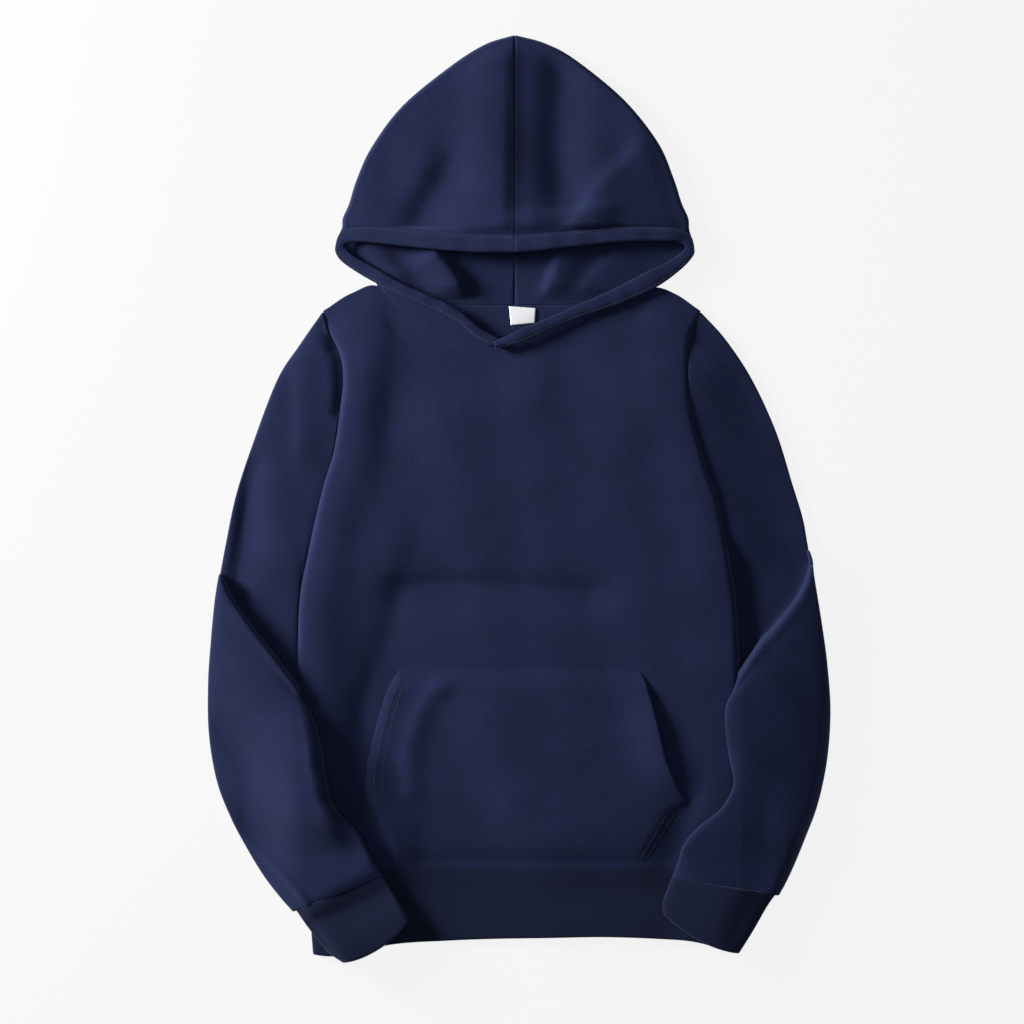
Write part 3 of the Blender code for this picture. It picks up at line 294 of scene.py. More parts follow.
# The same lines in each half: x and y at the face edge, x and y at the fold
RIGHT_HOOD = np.array([
    (-25, 161, -148.5, 226.5), (-40, 178, -150, 228.5), (-62, 196, -151.5, 230.5),
    (-92, 211, -152.3, 231.5), (-119, 223, -154.5, 233.5), (-147, 239, -160, 238),
    (-170, 250, -175, 245), (-182, 259.5, -185.5, 256), (-184.5, 270, -188, 270),
    (-174, 282.5, -183, 283), (-150, 282.5, -182, 293), (-116, 279.5, -175.5, 308),
    (-86, 277.5, -168, 332), (-60, 275.5, -152.5, 366), (-40, 274.5, -120.5, 409),
    (-22, 274, -71, 450), (-13, 273.8, -35, 473), (-4.2, 273.5, -4.2, 483),
])
LEFT_HOOD = np.array([
    (-17, 163.5, 145, 225.5), (10, 179, 146, 227), (35, 191, 147, 229), (66, 205, 148, 231),
    (98, 219, 150, 233.5), (133, 237, 155, 237.5), (160, 248, 165.5, 242.5),
    (173.5, 257.5, 177, 254), (176.5, 268.5, 180, 268.5), (167, 281, 177, 281.5),
    (142, 282.5, 176, 293), (107, 282.5, 169, 309), (78, 280, 160.5, 335), (52, 278, 144.5, 371.5),
    (32, 276.5, 109, 416), (14, 275, 58.5, 457.5), (5, 274.2, 27, 474.5), (-3.8, 273.5, -3.8, 483),
])
# The turned face edges, from the neck up: x, y, z of the edge away from the opening's middle and
# x, y, z of the edge towards it
RIGHT_BAND = np.array([
    (-17, 156.5, 9.6, -14, 163.5, 9.6), (-43.5, 169, 11.2, -40, 178, 11.2),
    (-66, 187, 12, -62, 196, 12), (-98, 202, 12, -92, 211, 12),
    (-124, 213.5, 11.8, -119, 223, 11.6), (-153, 227.5, 10.6, -147, 239, 10.4),
    (-180, 244.5, 9.2, -169.5, 252, 8.8), (-189.5, 255, 8.6, -179.5, 261, 8.4),
    (-190.5, 264, 9, -180.5, 265.5, 9), (-185.5, 277, 10.6, -176.5, 267.5, 10),
    (-172, 282.5, 11.6, -170, 268.5, 11.6), (-150, 282.7, 12.4, -148, 266.5, 13.8),
    (-116, 279.7, 13.4, -114, 262.5, 15.6), (-86, 277.7, 14.2, -86, 259.5, 16.6),
    (-60, 275.7, 14.7, -60, 257.5, 17.3), (-40, 274.7, 15.1, -40, 256.5, 17.7),
    (-22, 274.2, 15.3, -22, 256.5, 17.8), (-4.2, 273.7, 15.3, -4.2, 256.5, 17.8),
])
LEFT_BAND = np.array([
    (-24, 156, 15.2, -26, 163.5, 15), (8, 165.5, 15.4, 6, 178, 15.4),
    (37, 179, 14.6, 35, 190, 14.6), (70, 191.5, 13.6, 66, 204, 13.4),
    (104, 203, 12.6, 98, 218, 12.4), (142, 220, 11.2, 133, 236, 11.2),
    (168, 238.5, 9.4, 159.5, 250, 9.2), (181.5, 253, 8.6, 171.5, 259, 8.6),
    (183, 262, 9, 173.5, 263.5, 9), (178.5, 275, 10.6, 170, 266.5, 10),
    (165, 281.5, 11.6, 163.5, 268.5, 11.6), (142, 282.7, 12.4, 146, 269, 13.8),
    (107, 282.7, 13.4, 108, 268, 15.6), (78, 280.2, 14.2, 78, 265, 16.6),
    (52, 278.2, 14.7, 52, 262, 17.3), (32, 276.7, 15.1, 32, 259.5, 17.7),
    (14, 275.2, 15.3, 14, 257.5, 17.8), (-3.8, 273.7, 15.3, -3.8, 256.5, 17.8),
])
# The label's top corners and its bottom corners
LABEL_CORNERS = np.array([[(-10, 201.5), (18, 199.5)], [(-8, 181.5), (17, 184)]], float)
LABEL_CLEAR = 0.5
LABEL_BULGE = 0.5
LABEL_TURN = 2.2  # how far round its bulge goes from side to side, in radians

# ------------------------------------------------------------------ creases, mm

# Each crease: x and y where it starts and ends, how far its line bows to its left, its half width
# to the left and to the right of the line, and its height, negative for a trough
FRONT_CREASES = (
    (-128, 112, -132, 52, -2, 34, 22, -3.0),
    (-119, -104, -148, -208, 0, 70, 20, -3.8),
    (-118, -92, 70, -97, 5, 12, 26, -3.8),
    (-124, -240, -52, -440, 14, 60, 50, -10.0),
    (150, 60, 168, -60, 0, 26, 26, -1.2),
    (182, -300, 152, -400, 0, 14, 20, -2.6),
)
POCKET_CREASES = (
    (-84, -196, -112, -300, -12, 14, 10, 2.4),
    (-62, -206, -50, -212, 0, 12, 12, -1.2),
)
RIGHT_SLEEVE_CREASES = (
    (-191, 168, -186, 92, 4, 6, 7, -3.6),
    (-232, 142, -226, 56, 4, 20, 10, 2.4),
    (-206, 182, -194, 158, 0, 5, 6, -2.0),
    (-284, 30, -293, -84, 3, 20, 12, -5.0),
    (-248, -352, -166, -358, 0, 22, 26, -6.0),
    (-210, -240, -197, -318, 0, 14, 36, 6.0),
    (-214, -262, -206, -292, 0, 8, 10, 1.6),
    (-214, -412, -160, -386, 0, 22, 10, 2.6),
    (-282, -358, -213, -427, 6, 4, 5, 2.2),
)
LEFT_SLEEVE_CREASES = (
    (262, -160, 300, -196, 0, 14, 18, -1.2),
    (250, -335, 243, -395, 0, 24, 40, -3.6),
)
RIGHT_CUFF_CREASES = (
    (-212, -430, -176, -476, 0, 26, 10, 4.2),
    (-206, -438, -138, -408, 0, 12, 24, -3.4),
)
LEFT_CUFF_CREASES = (
    (222, -404, 210, -448, 0, 34, 34, 3.4),
    (244, -412, 226, -450, 0, 12, 14, -1.6),
)
HOOD_CREASES = (
    (-16, 448, -19, 300, 0, 14, 38, 5.0),
    (44, 436, 46, 330, -3, 30, 22, -7.5),
    (-97, 301, -78, 332, 0, 18, 26, -6.4),
    (16, 292, 72, 298, -4, 9, 34, 4.4),
    (72, 298, 112, 346, 6, 10, 50, 4.6),
)
# On the lower layer of the hood, which shows inside the opening
INSIDE_CREASES = (
    (-84, 250, -57, 206, 4, 8, 24, 12.0),
    (-150, 262, -128, 236, 0, 12, 18, 5.0),
    (42, 256, 24, 204, 4, 26, 8, 7.0),
    (96, 250, 62, 206, 0, 26, 10, 3.0),
)

# ------------------------------------------------------------------ sewing and stage, sizes

GROOVE_SEAT = 0.36  # height of the stitches on the turned edge, as a share of its thickness
STITCH_SHARE = 0.8  # length of a stitch, as a share of the distance from one to the next
EDGE_STITCHED = np.s_[6:-2]  # the rings of the turned edge that are stitched
STITCH_STEPS = (60, 80)  # points along the rows at the pocket's top and sides
# Along the pocket's top edge: shares of its width from end to end, and share of its height
POCKET_TOP_STITCHES = ((0.03, 0.17), 0.982)
# Down its sides: share of its width, and shares of its height from end to end
POCKET_SIDE_STITCHES = (
    (0.03, 0.34, 0.93), (0.055, 0.40, 0.88), (0.972, 0.04, 0.25), (0.948, 0.05, 0.24),
)

# The stage, in metres and millimetres of lens
FLOOR_HALF = 60.0
FLOOR_LEVEL = -0.0002
# Name, place, width and watts; each one faces the garment
SOFTBOXES = (
    ("key_softbox", (-2.2, 0.88, 0.75), 0.7, 136.0),
    ("fill_softbox", (0.2, 0.1, 3.0), 2.6, 15.0),
)
ROOM_GREY = "#f7f7f7"
ROOM_STRENGTH = 0.1
LENS = 85.0
SENSOR = 36.0
VIEW_MIDDLE = (-0.00751, -0.01435)
VIEW_WIDTH = 1.065  # what the camera sees of the level VIEW_LEVEL
VIEW_LEVEL = 0.012


# ------------------------------------------------------------------ settings


def linear(code):
    """An sRGB hex colour such as "#20264a" as linear red, green and blue."""
    values = np.array([int(code[i:i + 2], 16) for i in (1, 3, 5)]) / 255
    curve = np.where(values <= 0.04045, values / 12.92, ((values + 0.055) / 1.055) ** 2.4)
    return tuple(float(value) for value in curve)


class HoodieSizes(bpy.types.PropertyGroup):
    """Thicknesses of the cloth and sizes of its sewing."""

    fleece: bpy.props.FloatProperty(
        name="Fleece", description="Thickness of one layer of brushed fleece",
        default=0.0024, min=0.001, max=0.004, unit="LENGTH", subtype="DISTANCE")
    rib: bpy.props.FloatProperty(
        name="Rib", description="Thickness of the folded double rib of hem and cuffs",
        default=0.003, min=0.001, max=0.005, unit="LENGTH", subtype="DISTANCE")
    turned: bpy.props.FloatProperty(
        name="Turned edge", description="Thickness of the hood's turned face edge",
        default=0.0042, min=0.002, max=0.006, unit="LENGTH", subtype="DISTANCE")
    label: bpy.props.FloatProperty(
        name="Label", description="Thickness of the folded satin label",
        default=0.0006, min=0.0003, max=0.001, unit="LENGTH", subtype="DISTANCE")
    stitch: bpy.props.FloatProperty(
        name="Stitch", description="Length of one topstitch",
        default=0.0034, min=0.002, max=0.006, unit="LENGTH", subtype="DISTANCE")
    thread: bpy.props.FloatProperty(
        name="Thread", description="Thickness of the topstitching thread",
        default=0.0007, min=0.0003, max=0.0015, unit="LENGTH", subtype="DISTANCE")
    rib_pitch: bpy.props.FloatProperty(
        name="Rib spacing", description="Distance from one rib of the knit to the next",
        default=0.0034, min=0.002, max=0.008, unit="LENGTH", subtype="DISTANCE")


class HoodieColours(bpy.types.PropertyGroup):
    """Colours of the cloth, the sewing and the stage."""

    fleece: bpy.props.FloatVectorProperty(
        name="Fleece", description="Dyed navy of the fleece", size=3,
        default=linear("#1c223f"), min=0, max=1, subtype="COLOR")
    worn: bpy.props.FloatVectorProperty(
        name="Fleece nap", description="Paler navy where the nap is rubbed", size=3,
        default=linear("#202749"), min=0, max=1, subtype="COLOR")
    rib: bpy.props.FloatVectorProperty(
        name="Rib", description="Dyed navy of the rib", size=3,
        default=linear("#181d36"), min=0, max=1, subtype="COLOR")
    thread: bpy.props.FloatVectorProperty(
        name="Thread", description="Navy of the polyester thread", size=3,
        default=linear("#232848"), min=0, max=1, subtype="COLOR")
    label: bpy.props.FloatVectorProperty(
        name="Label", description="White of the bare satin label", size=3,
        default=linear("#f8f8fb"), min=0, max=1, subtype="COLOR")
    floor: bpy.props.FloatVectorProperty(
        name="Floor", description="Pale surface that the hoodie lies on", size=3,
        default=linear("#f7f7f7"), min=0, max=1, subtype="COLOR")


# ------------------------------------------------------------------ curves and grids


def ease(x):
    """A smooth step from 0 at x = 0 to 1 at x = 1."""
    x = np.clip(x, 0.0, 1.0)
    return x * x * (3.0 - 2.0 * x)


def smooth_curve(places, values, x):
    """A cubic curve through the values at rising places, with the slopes of its neighbours."""
    slopes = np.gradient(values, places, axis=0)
    x = np.clip(np.asarray(x, float), places[0], places[LAST])
    i = np.clip(np.searchsorted(places, x, side="right") - 1, 0, len(places) - 2)
    span = places[i + 1] - places[i]
    t = (x - places[i]) / span
    if values.ndim > 1:
        t = t[..., None]
        span = span[..., None]
    start = (2 * t**3 - 3 * t**2 + 1) * values[i] + (t**3 - 2 * t**2 + t) * span * slopes[i]
    end = (3 * t**2 - 2 * t**3) * values[i + 1] + (t**3 - t**2) * span * slopes[i + 1]
    return start + end


def table_rows(table, shares):
    """A table's rows, read as smooth curves at shares of the way from its first to its last."""
    return smooth_curve(np.arange(len(table), dtype=float), table, shares * (len(table) - 1))


def close_at_ends(count, nearest):
    """Rising shares from 0 to 1, even but for three closer ones at each end for a round rim."""
    near = nearest * np.array([0.0, 1.0, 2.6])
    return np.concatenate([near, np.linspace(nearest * 5, 1 - nearest * 5, count), 1 - near[::-1]])


def between(y, low, low_turn, high, high_turn):
    """A smooth share that comes up from 0 at low and is back at 0 at high, over its two turns."""
    return ease((y - low) / low_turn) * ease((high - y) / high_turn)


def creases(table, x, y):
    """The sum of soft troughs and ridges.

    Each is a bell across a bowed line, with its own half width on each side of that line, and it
    fades past the ends of the line.
    """
    total = np.zeros(np.broadcast(x, y).shape)
    for from_x, from_y, to_x, to_y, bow, left_width, right_width, height in table:
        along_x = to_x - from_x
        along_y = to_y - from_y
        length = np.hypot(along_x, along_y)
        along = ((x - from_x) * along_x + (y - from_y) * along_y) / length
        across = ((y - from_y) * along_x - (x - from_x) * along_y) / length
        share = np.clip(along / length, 0, 1)
        across = across - bow * 4 * share * (1 - share)
        past = np.maximum(np.maximum(-along, along - length), 0)
        width = np.where(across > 0, left_width, right_width)
        fading = 0.7 * (left_width + right_width)
        total += height * np.exp(-((across / width) ** 2) - (past / fading) ** 2)
    return total


def soft_waves(x, y, seed, length, height):
    """Slow uneven waves of cloth: a sum of sines in seeded directions about one wavelength."""
    draw = np.random.default_rng(seed)
    total = np.zeros(np.broadcast(x, y).shape)
    count = 7
    for _ in range(count):
        heading = draw.uniform(0, np.pi)
        pace = 2 * np.pi / (length * draw.uniform(0.7, 1.6))
        start = draw.uniform(0, 2 * np.pi)
        total += np.sin((x * np.cos(heading) + y * np.sin(heading)) * pace + start)
    return total * height / np.sqrt(count)


# ------------------------------------------------------------------ walls of cloth


def arc_lengths(grid, axis):
    """Distance along a grid's rows or columns from their first point."""
    steps = np.linalg.norm(np.diff(grid, axis=axis), axis=-1)
    return np.insert(np.cumsum(steps, axis=axis), 0, 0.0, axis=axis)


def grid_normals(grid, closed):
    """The unit normal at each point, across its neighbours along the rows and the columns.

    A corner whose row and column run the same way takes the normal of the row above it.
    """
    down = np.gradient(grid, axis=0)
    if closed:
        across = np.roll(grid, -1, 1) - np.roll(grid, 1, 1)
    else:
        across = np.gradient(grid, axis=1)
    normal = np.cross(down, across)
    length = np.linalg.norm(normal, axis=-1, keepdims=True)
    normal = normal / np.maximum(length, TINY)
    return np.where(length < TINY, np.roll(normal, 1, 0), normal)


def rim_shape(grid, closed, radius):
    """The share of the wall's thickness at each point: a quarter round off towards every rim."""
    down = arc_lengths(grid, 0)
    distance = np.minimum(down, down[LAST] - down)
    if not closed:
        across = arc_lengths(grid, 1)
        distance = np.minimum(distance, np.minimum(across, across[:, LAST:] - across))
    inward = np.clip(distance / radius, 0, 1)
    return RIM_LEAST + (1 - RIM_LEAST) * np.sqrt(np.maximum(1 - (1 - inward) ** 2, 0))


def offset_room(grid, normals, closed, side):
    """How far each point can move to one side before it would cross its neighbours' paths."""
    room = np.full(grid.shape[:2], np.inf)
    rows = len(grid)
    for down, across in ((1, 0), (0, 1), (1, 1), (1, -1)):
        place = np.roll(grid, -across, 1)[down:]
        turned = np.roll(normals, -across, 1)[down:]
        step = place - grid[:rows - down]
        closing = -side * ((turned - normals[:rows - down]) * step).sum(-1)
        reach = ROOM_SHARE * (step**2).sum(-1) / np.maximum(closing, TINY)
        if not closed and across:
            reach[:, LAST if across > 0 else 0] = np.inf
        room[:rows - down] = np.minimum(room[:rows - down], reach)
        far = np.full(room.shape, np.inf)
        far[down:] = reach
        room = np.minimum(room, np.roll(far, across, 1))
    return room


def grid_quads(rows, columns, closed):
    """Corners of a grid's cells, as (row, column) pairs.

    A closed grid's last column meets the first again one column further on.
    """
    row, column = np.meshgrid(np.arange(rows - 1), np.arange(columns - 1 + closed), indexing="ij")
    row = row.reshape(-1, 1) + np.array([0, 0, 1, 1])
    column = column.reshape(-1, 1) + np.array([0, 1, 1, 0])
    return row, column


def wall_mesh(name, grid, thickness, closed=False):
    """A wall of cloth about a grid of points, in millimetres.

    Each point goes half the thickness along its normal to both sides, less towards the rims and
    where a fold is too tight, and the two sheets are joined around the rims. The UV map "cloth"
    holds the distance around and along in metres.
    """
    normals = grid_normals(grid, closed)
    shape = rim_shape(grid, closed, thickness * RIM_RADIUS)
    points = []
    for side in (1, -1):
        reach = np.minimum(offset_room(grid, normals, closed, side), thickness / 2) * shape
        points.append((grid + side * normals * reach[..., None]).reshape(-1, 3))
    around = np.concatenate([grid, grid[:, :1]], 1) if closed else grid
    u = arc_lengths(around, 1)
    u = u - u[:, LAST:] / 2
    v = arc_lengths(around, 0)
    rows, columns = grid.shape[:2]
    row, column = grid_quads(rows, columns, closed)
    across = np.arange(columns - 1 + closed)[:, None] + [0, 1, 1, 0]
    sheet = np.array([0, 0, 1, 1])
    # Row, column and sheet of each face's corners, and whether the face is turned round
    patches = [(row, column, 0, False), (row, column, 1, True),
               (0, across, sheet, True), (rows - 1, across, sheet, False)]
    if not closed:
        down = np.arange(rows - 1)[:, None] + [0, 1, 1, 0]
        patches += [(down, 0, sheet, False), (down, columns - 1, sheet, True)]
    corners = []
    for *places, turned in patches:
        corner = np.stack(np.broadcast_arrays(*places), -1)
        corners.append(corner[:, ::-1] if turned else corner)
    row, column, sheet = np.moveaxis(np.vstack(corners), -1, 0)
    faces = (sheet * rows + row) * columns + column % columns
    uv = np.stack([u[row, column], v[row, column]], -1) * MM
    return facing_out(name, np.vstack(points), faces, uv)


def facing_out(name, points, faces, uv=None):
    """A mesh in metres in the part's frame, with its faces turned to point out of its volume."""
    points = (points - TABLE_MIDDLE) * MM
    one = points[faces[:, 0]]
    volume = 0.0
    for step in range(1, faces.shape[1] - 1):
        volume += np.einsum("ij,ij->", one, np.cross(points[faces[:, step]],
                                                     points[faces[:, step + 1]]))
    if volume < 0:
        faces = faces[:, ::-1]
        uv = None if uv is None else uv[:, ::-1]
    mesh = bpy.data.meshes.new(name)
    mesh.from_pydata(points.tolist(), [], faces.tolist())
    if uv is not None:
        layer = mesh.uv_layers.new(name="cloth")
        layer.uv.foreach_set("vector", np.ascontiguousarray(uv).reshape(-1))
    mesh.shade_smooth()
    return mesh


def show(name, mesh, material):
    """An object for a finished mesh, with its material, riding on the one body."""
    item = bpy.data.objects.new(name, mesh)
    bpy.context.scene.collection.objects.link(item)
    mesh.materials.append(material)
    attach(item, "root")
    return item


# ------------------------------------------------------------------ the body's surface


def body_edges(y):
    """x of the body's two side edges at a height."""
    return (smooth_curve(BODY_SIDES[:, 0], BODY_SIDES[:, 1], y),
            smooth_curve(BODY_SIDES[:, 0], BODY_SIDES[:, 2], y))


def front_top(x):
    """y of the front's top edge."""
    return smooth_curve(*FRONT_TOP.T, x)


def back_top(x):
    """y of the back's top edge: the same shoulders, and a shallow curve across the nape."""
    inside = (x > BACK_TOP[0, 0]) & (x < BACK_TOP[LAST, 0])
    return np.where(inside, np.interp(x, *BACK_TOP.T), front_top(x))


def armhole_share(y):
    """0 along the side seam and 1 up the armhole."""
    return ease((y - ARMHOLE_FROM) / ARMHOLE_TURN)


def seam_lift(y):
    """Rise of the left armhole's seam: none at the armpit and at the shoulder."""
    rise = LEFT_LIFT * ease((y - LIFT_FROM) / LIFT_TURN)
    return rise * (1.0 - ease((y - LIFT_TO) / LIFT_TURN))


def body_level(x, y):
    """Height of the middle of the front's cloth without its creases.

    It is a level sheet with a bell-shaped crown along each side edge, and comes down smoothly to
    the neckline, the hem and the lapped shoulder seams.
    """
    right, left = body_edges(y)
    from_right = np.maximum(x - right, SIDE_ROLL)
    from_left = np.maximum(left - x, SIDE_ROLL)
    along = CROWN_AT_HEM + (1.0 - CROWN_AT_HEM) * ease((y - HEM_SEAM_Y) / CROWN_WHOLE)
    along = along * (1.0 - CHEST_FALL * ease((y - CHEST_Y) / CHEST_REACH))
    crown = CROWN_RIGHT * np.exp(-(((from_right - CROWN_REACH) / CROWN_WIDTH) ** 2))
    crown = crown + CROWN_LEFT * np.exp(-(((from_left - LEFT_REACH) / LEFT_WIDTH) ** 2))
    below_top = front_top(x) - y
    rise = NECK_RISE + NECK_SLOWER * ease((x - NECK_X) / NECK_TURN)
    level = NECK_LEVEL + (FRONT_LEVEL - NECK_LEVEL) * ease((below_top - NECK_FROM) / rise)
    up_from_hem = ease((y - HEM_SEAM_Y + HEM_FROM) / HEM_RISE)
    z = HEM_LEVEL + (level - HEM_LEVEL) * up_from_hem + crown * along
    shoulder = ease((np.abs(x - LAP_MIDDLE) - LAP_FROM) / LAP_WIDTH)
    lap = shoulder * (1.0 - ease(below_top / LAP_DEPTH))
    return z + (LAPPED_LEVEL - z) * lap


def front_height(x, y):
    """The body's level with its creases and slow waves, which fade towards the shoulders.

    In deep troughs a soft maximum keeps the front from going below its least level.
    """
    below_top = front_top(x) - y
    relief = creases(FRONT_CREASES, x, y) + soft_waves(x, y, *FRONT_WAVES)
    above = body_level(x, y) + relief * ease(below_top / FOLD_FADE) - LEAST_LEVEL
    lying = LEAST_SOFT * np.logaddexp(0, above / LEAST_SOFT)
    return LEAST_LEVEL + above + (lying - above) * ease(below_top / LEAST_FADE)


def body_plan(middle_places, y_shares, top_edge, fleece, flat_out):
    """x and y of a body panel: rolled columns at each side and the columns between them.

    Each column runs from the hem's seam up to the top edge. Its x follows the side edges, and
    comes with the cube of the way up to where the column meets the top edge.
    """
    inset = fleece / 2 + SIDE_ROLL * (1 - np.cos(SIDE_ANGLES))
    deep = fleece / 2 + SIDE_ROLL
    top_right, top_left = (float(edge) for edge in body_edges(np.array(SHOULDER_Y)))
    across = top_left - top_right - 2 * deep
    top_x = np.concatenate([
        top_right + inset, top_right + deep + across * middle_places, top_left - inset[::-1]])
    y = HEM_SEAM_Y + y_shares[:, None] * (top_edge(top_x) - HEM_SEAM_Y)
    right, left = body_edges(y)
    count = len(inset)
    out = flat_out * fleece / 2 * ease((y - ARMPIT_Y) / BACK_TURN)
    x = np.empty(y.shape)
    x[:, :count] = (right - out)[:, :count] + inset
    x[:, -count:] = (left + out)[:, -count:] - inset[::-1]
    middle = np.s_[:, count:-count]
    x[middle] = right[middle] + deep + (left - right - 2 * deep)[middle] * middle_places
    x[middle] += (top_x[count:-count] - x[LAST, count:-count]) * y_shares[:, None] ** 3
    return x, y


def front_grid(fleece):
    """The front panel's middle surface: the level sheet, rolled down to the side seams."""
    places = np.concatenate([
        [0.0, 0.01, 0.02], np.linspace(0.03, 0.97, FRONT_COLUMNS), [0.98, 0.99, 1.0]])
    x, y = body_plan(places, close_at_ends(*FRONT_ROWS), front_top, fleece, 0)
    z = front_height(x, y)
    rim = SIDE_SEAM_LEVEL + SEAM / 2 - ARMHOLE_DROP * armhole_share(y) + seam_lift(y) * (x > 0)
    rim = np.minimum(rim, z)
    rise = np.sin(SIDE_ANGLES)
    count = len(SIDE_ANGLES)
    z[:, :count] = rim[:, :count] + (z[:, :count] - rim[:, :count]) * rise
    z[:, -count:] = rim[:, -count:] + (z[:, -count:] - rim[:, -count:]) * rise[::-1]
    return np.dstack([x, y, z])


def back_grid(fleece):
    """The back panel's middle surface: flat on the floor, curled up to the side seams."""
    places = np.linspace(0, 1, BACK_COLUMNS)
    x, y = body_plan(places, close_at_ends(*BACK_ROWS), back_top, fleece, 1)
    z = np.full(x.shape, BACK_LEVEL)
    curl = (SIDE_SEAM_LEVEL - SEAM / 2 - BACK_LEVEL) * (1 - armhole_share(y))
    rise = 1 - np.sin(SIDE_ANGLES)
    count = len(SIDE_ANGLES)
    z[:, :count] += curl[:, :count] * rise
    z[:, -count:] += curl[:, -count:] * rise[::-1]
    return np.dstack([x, y, z])


def hem_bottom(x):
    """y of the hem band's bottom edge."""
    return smooth_curve(*HEM_BOTTOM.T, x)


def hem_grid(front, back, rib, fleece):
    """A flat tube below the two panels: their lowest rows joined in a ring and carried down.

    On the way the upper layer comes down almost to its least level, then up again a little.
    """
    upper = front[0] - [0, 0, (rib - fleece) / 2]
    lower = back[0, 1:-1][::-1] + [0, 0, (rib - fleece) / 2]
    upper[[0, LAST], 2] = SIDE_SEAM_LEVEL
    ring = np.vstack([upper, lower])
    down = close_at_ends(*HEM_ROWS)[:, None]
    across = (ring[:, 0] - front[0, 0, 0]) / (front[0, LAST, 0] - front[0, 0, 0])
    x = ring[:, 0] + (HEM_RIGHT_IN * (1 - across) - HEM_LEFT_IN * across) * down
    top = HEM_SEAM_Y + HEM_LAP
    y = top + (hem_bottom(x) - top) * down
    room = np.maximum(ring[:, 2] - LEAST_LEVEL, 0)
    dip = HEM_DIP * ease(down / HEM_SPAN) - HEM_UP * ease((down - HEM_UP_FROM) / HEM_SPAN)
    return np.dstack([x, y, ring[:, 2] - room * dip])


def pocket_points(up, across, fleece):
    """Points of the pouch pocket at shares of its height and width.

    It is the front's own surface moved out by its cloth. The cloth comes down to the front where it
    is sewn, and stands off it along the slanting hand opening on the wearer's left.
    """
    places = np.linspace(0, 1, len(POCKET_SIDES))
    y, right, left = (np.interp(up, places, column)[:, None] for column in POCKET_SIDES.T)
    x = right + (left - right) * across
    y = np.broadcast_to(y, x.shape)
    opening = between(y, *OPENING)
    gape = GAPE_HEIGHT * between(y, *GAPE) * np.exp(-(((1 - across) * GAPE_NARROW) ** 2))
    by_right, by_left, by_top, by_bottom = POCKET_SEAMS
    from_side = np.minimum((x - right) / by_right + OPENING_RIGHT * opening,
                           (left - x) / by_left + opening)
    from_end = np.minimum((POCKET_SIDES[LAST, 0] - y) / by_top,
                          (y - POCKET_SIDES[0, 0]) / by_bottom)
    free = ease(np.minimum(from_side, from_end))
    z = front_height(x, y) - POCKET_SUNK + free * (fleece + POCKET_PUFF + gape)
    z = z + creases(POCKET_CREASES, x, y) * free
    return np.dstack([x, y, z])


# ------------------------------------------------------------------ sleeves and cuffs


def drape_height(x, y, rib, fleece, narrow=DRAPE_NARROW, even=0.0):
    """Height of a layer lying over the body: on its front, and coming down beside its edges.

    even is the share of that way down which is a straight slope, not an eased one.
    """
    right, left = body_edges(y)
    held = CROWN_REACH * DRAPE_HOLD
    top = body_level(np.clip(x, right + held, left - held), np.maximum(y, HEM_SEAM_Y))
    top = top + fleece / 2 + LAID_ON
    top = top + (rib - fleece) * ease((HEM_SEAM_Y + CUFF_STEP - y) / CUFF_STEP)
    outside = np.maximum(right - x, x - left)
    spread = narrow + (DRAPE_WIDE - narrow) * ease((y - DRAPE_Y) / DRAPE_TURN)
    aside = 1 - even * np.clip(outside / spread, 0, 1) - (1 - even) * ease(outside / spread)
    beyond = 1 - ease((hem_bottom(x) - y) / DRAPE_NARROW)
    return top * aside * beyond


def flat_tube(outer, inner, counts, bottom, thickness, cloth, bend, lean):
    """Rings of a flattened tube: upper cloth from edge to edge, lower cloth back again.

    Across the chord the points follow a cosine, so that they close up at the two round edges. The
    upper cloth rises as a flattened half ellipse and the lower cloth lies flat sooner.
    """
    upper_count, lower_count = counts
    turn_up = np.linspace(0, np.pi, upper_count)
    turn_down = np.linspace(np.pi, 2 * np.pi, lower_count + 2)[1:-1]
    turn = np.concatenate([turn_up, turn_down])
    share = (1 - np.cos(turn)) / 2
    chord = inner - outer
    inset = cloth / 2 / np.linalg.norm(chord, axis=1, keepdims=True)
    held = inset + (1 - 2 * inset) * share
    plan = outer[:, None] + chord[:, None] * held[..., None] + bend(held)
    floor = bottom(plan[..., 0], plan[..., 1])
    rise = np.sin(turn)
    up = np.where(rise >= 0, np.abs(rise) ** UPPER_POWER, -np.abs(rise) ** LOWER_POWER)
    up[[0, upper_count - 1]] = 0
    thickness = thickness[:, None] * (1 + lean * (2 * share - 1))
    thickness = np.maximum(thickness, 2 * cloth + TUBE_ROOM)
    z = floor + thickness / 2 + (thickness - cloth) / 2 * up
    return np.dstack([plan, z]), np.minimum(np.maximum(rise, 0) * UPPER_SHARE, 1)


def armhole_bend(side, share):
    """How far the armhole's seam lies in x from the straight line between its two ends."""
    y = SHOULDER_Y + (ARMPIT_Y - SHOULDER_Y) * share
    top, bottom = body_edges(np.array([SHOULDER_Y, ARMPIT_Y]))[side]
    return body_edges(y)[side] - (top + (bottom - top) * share)


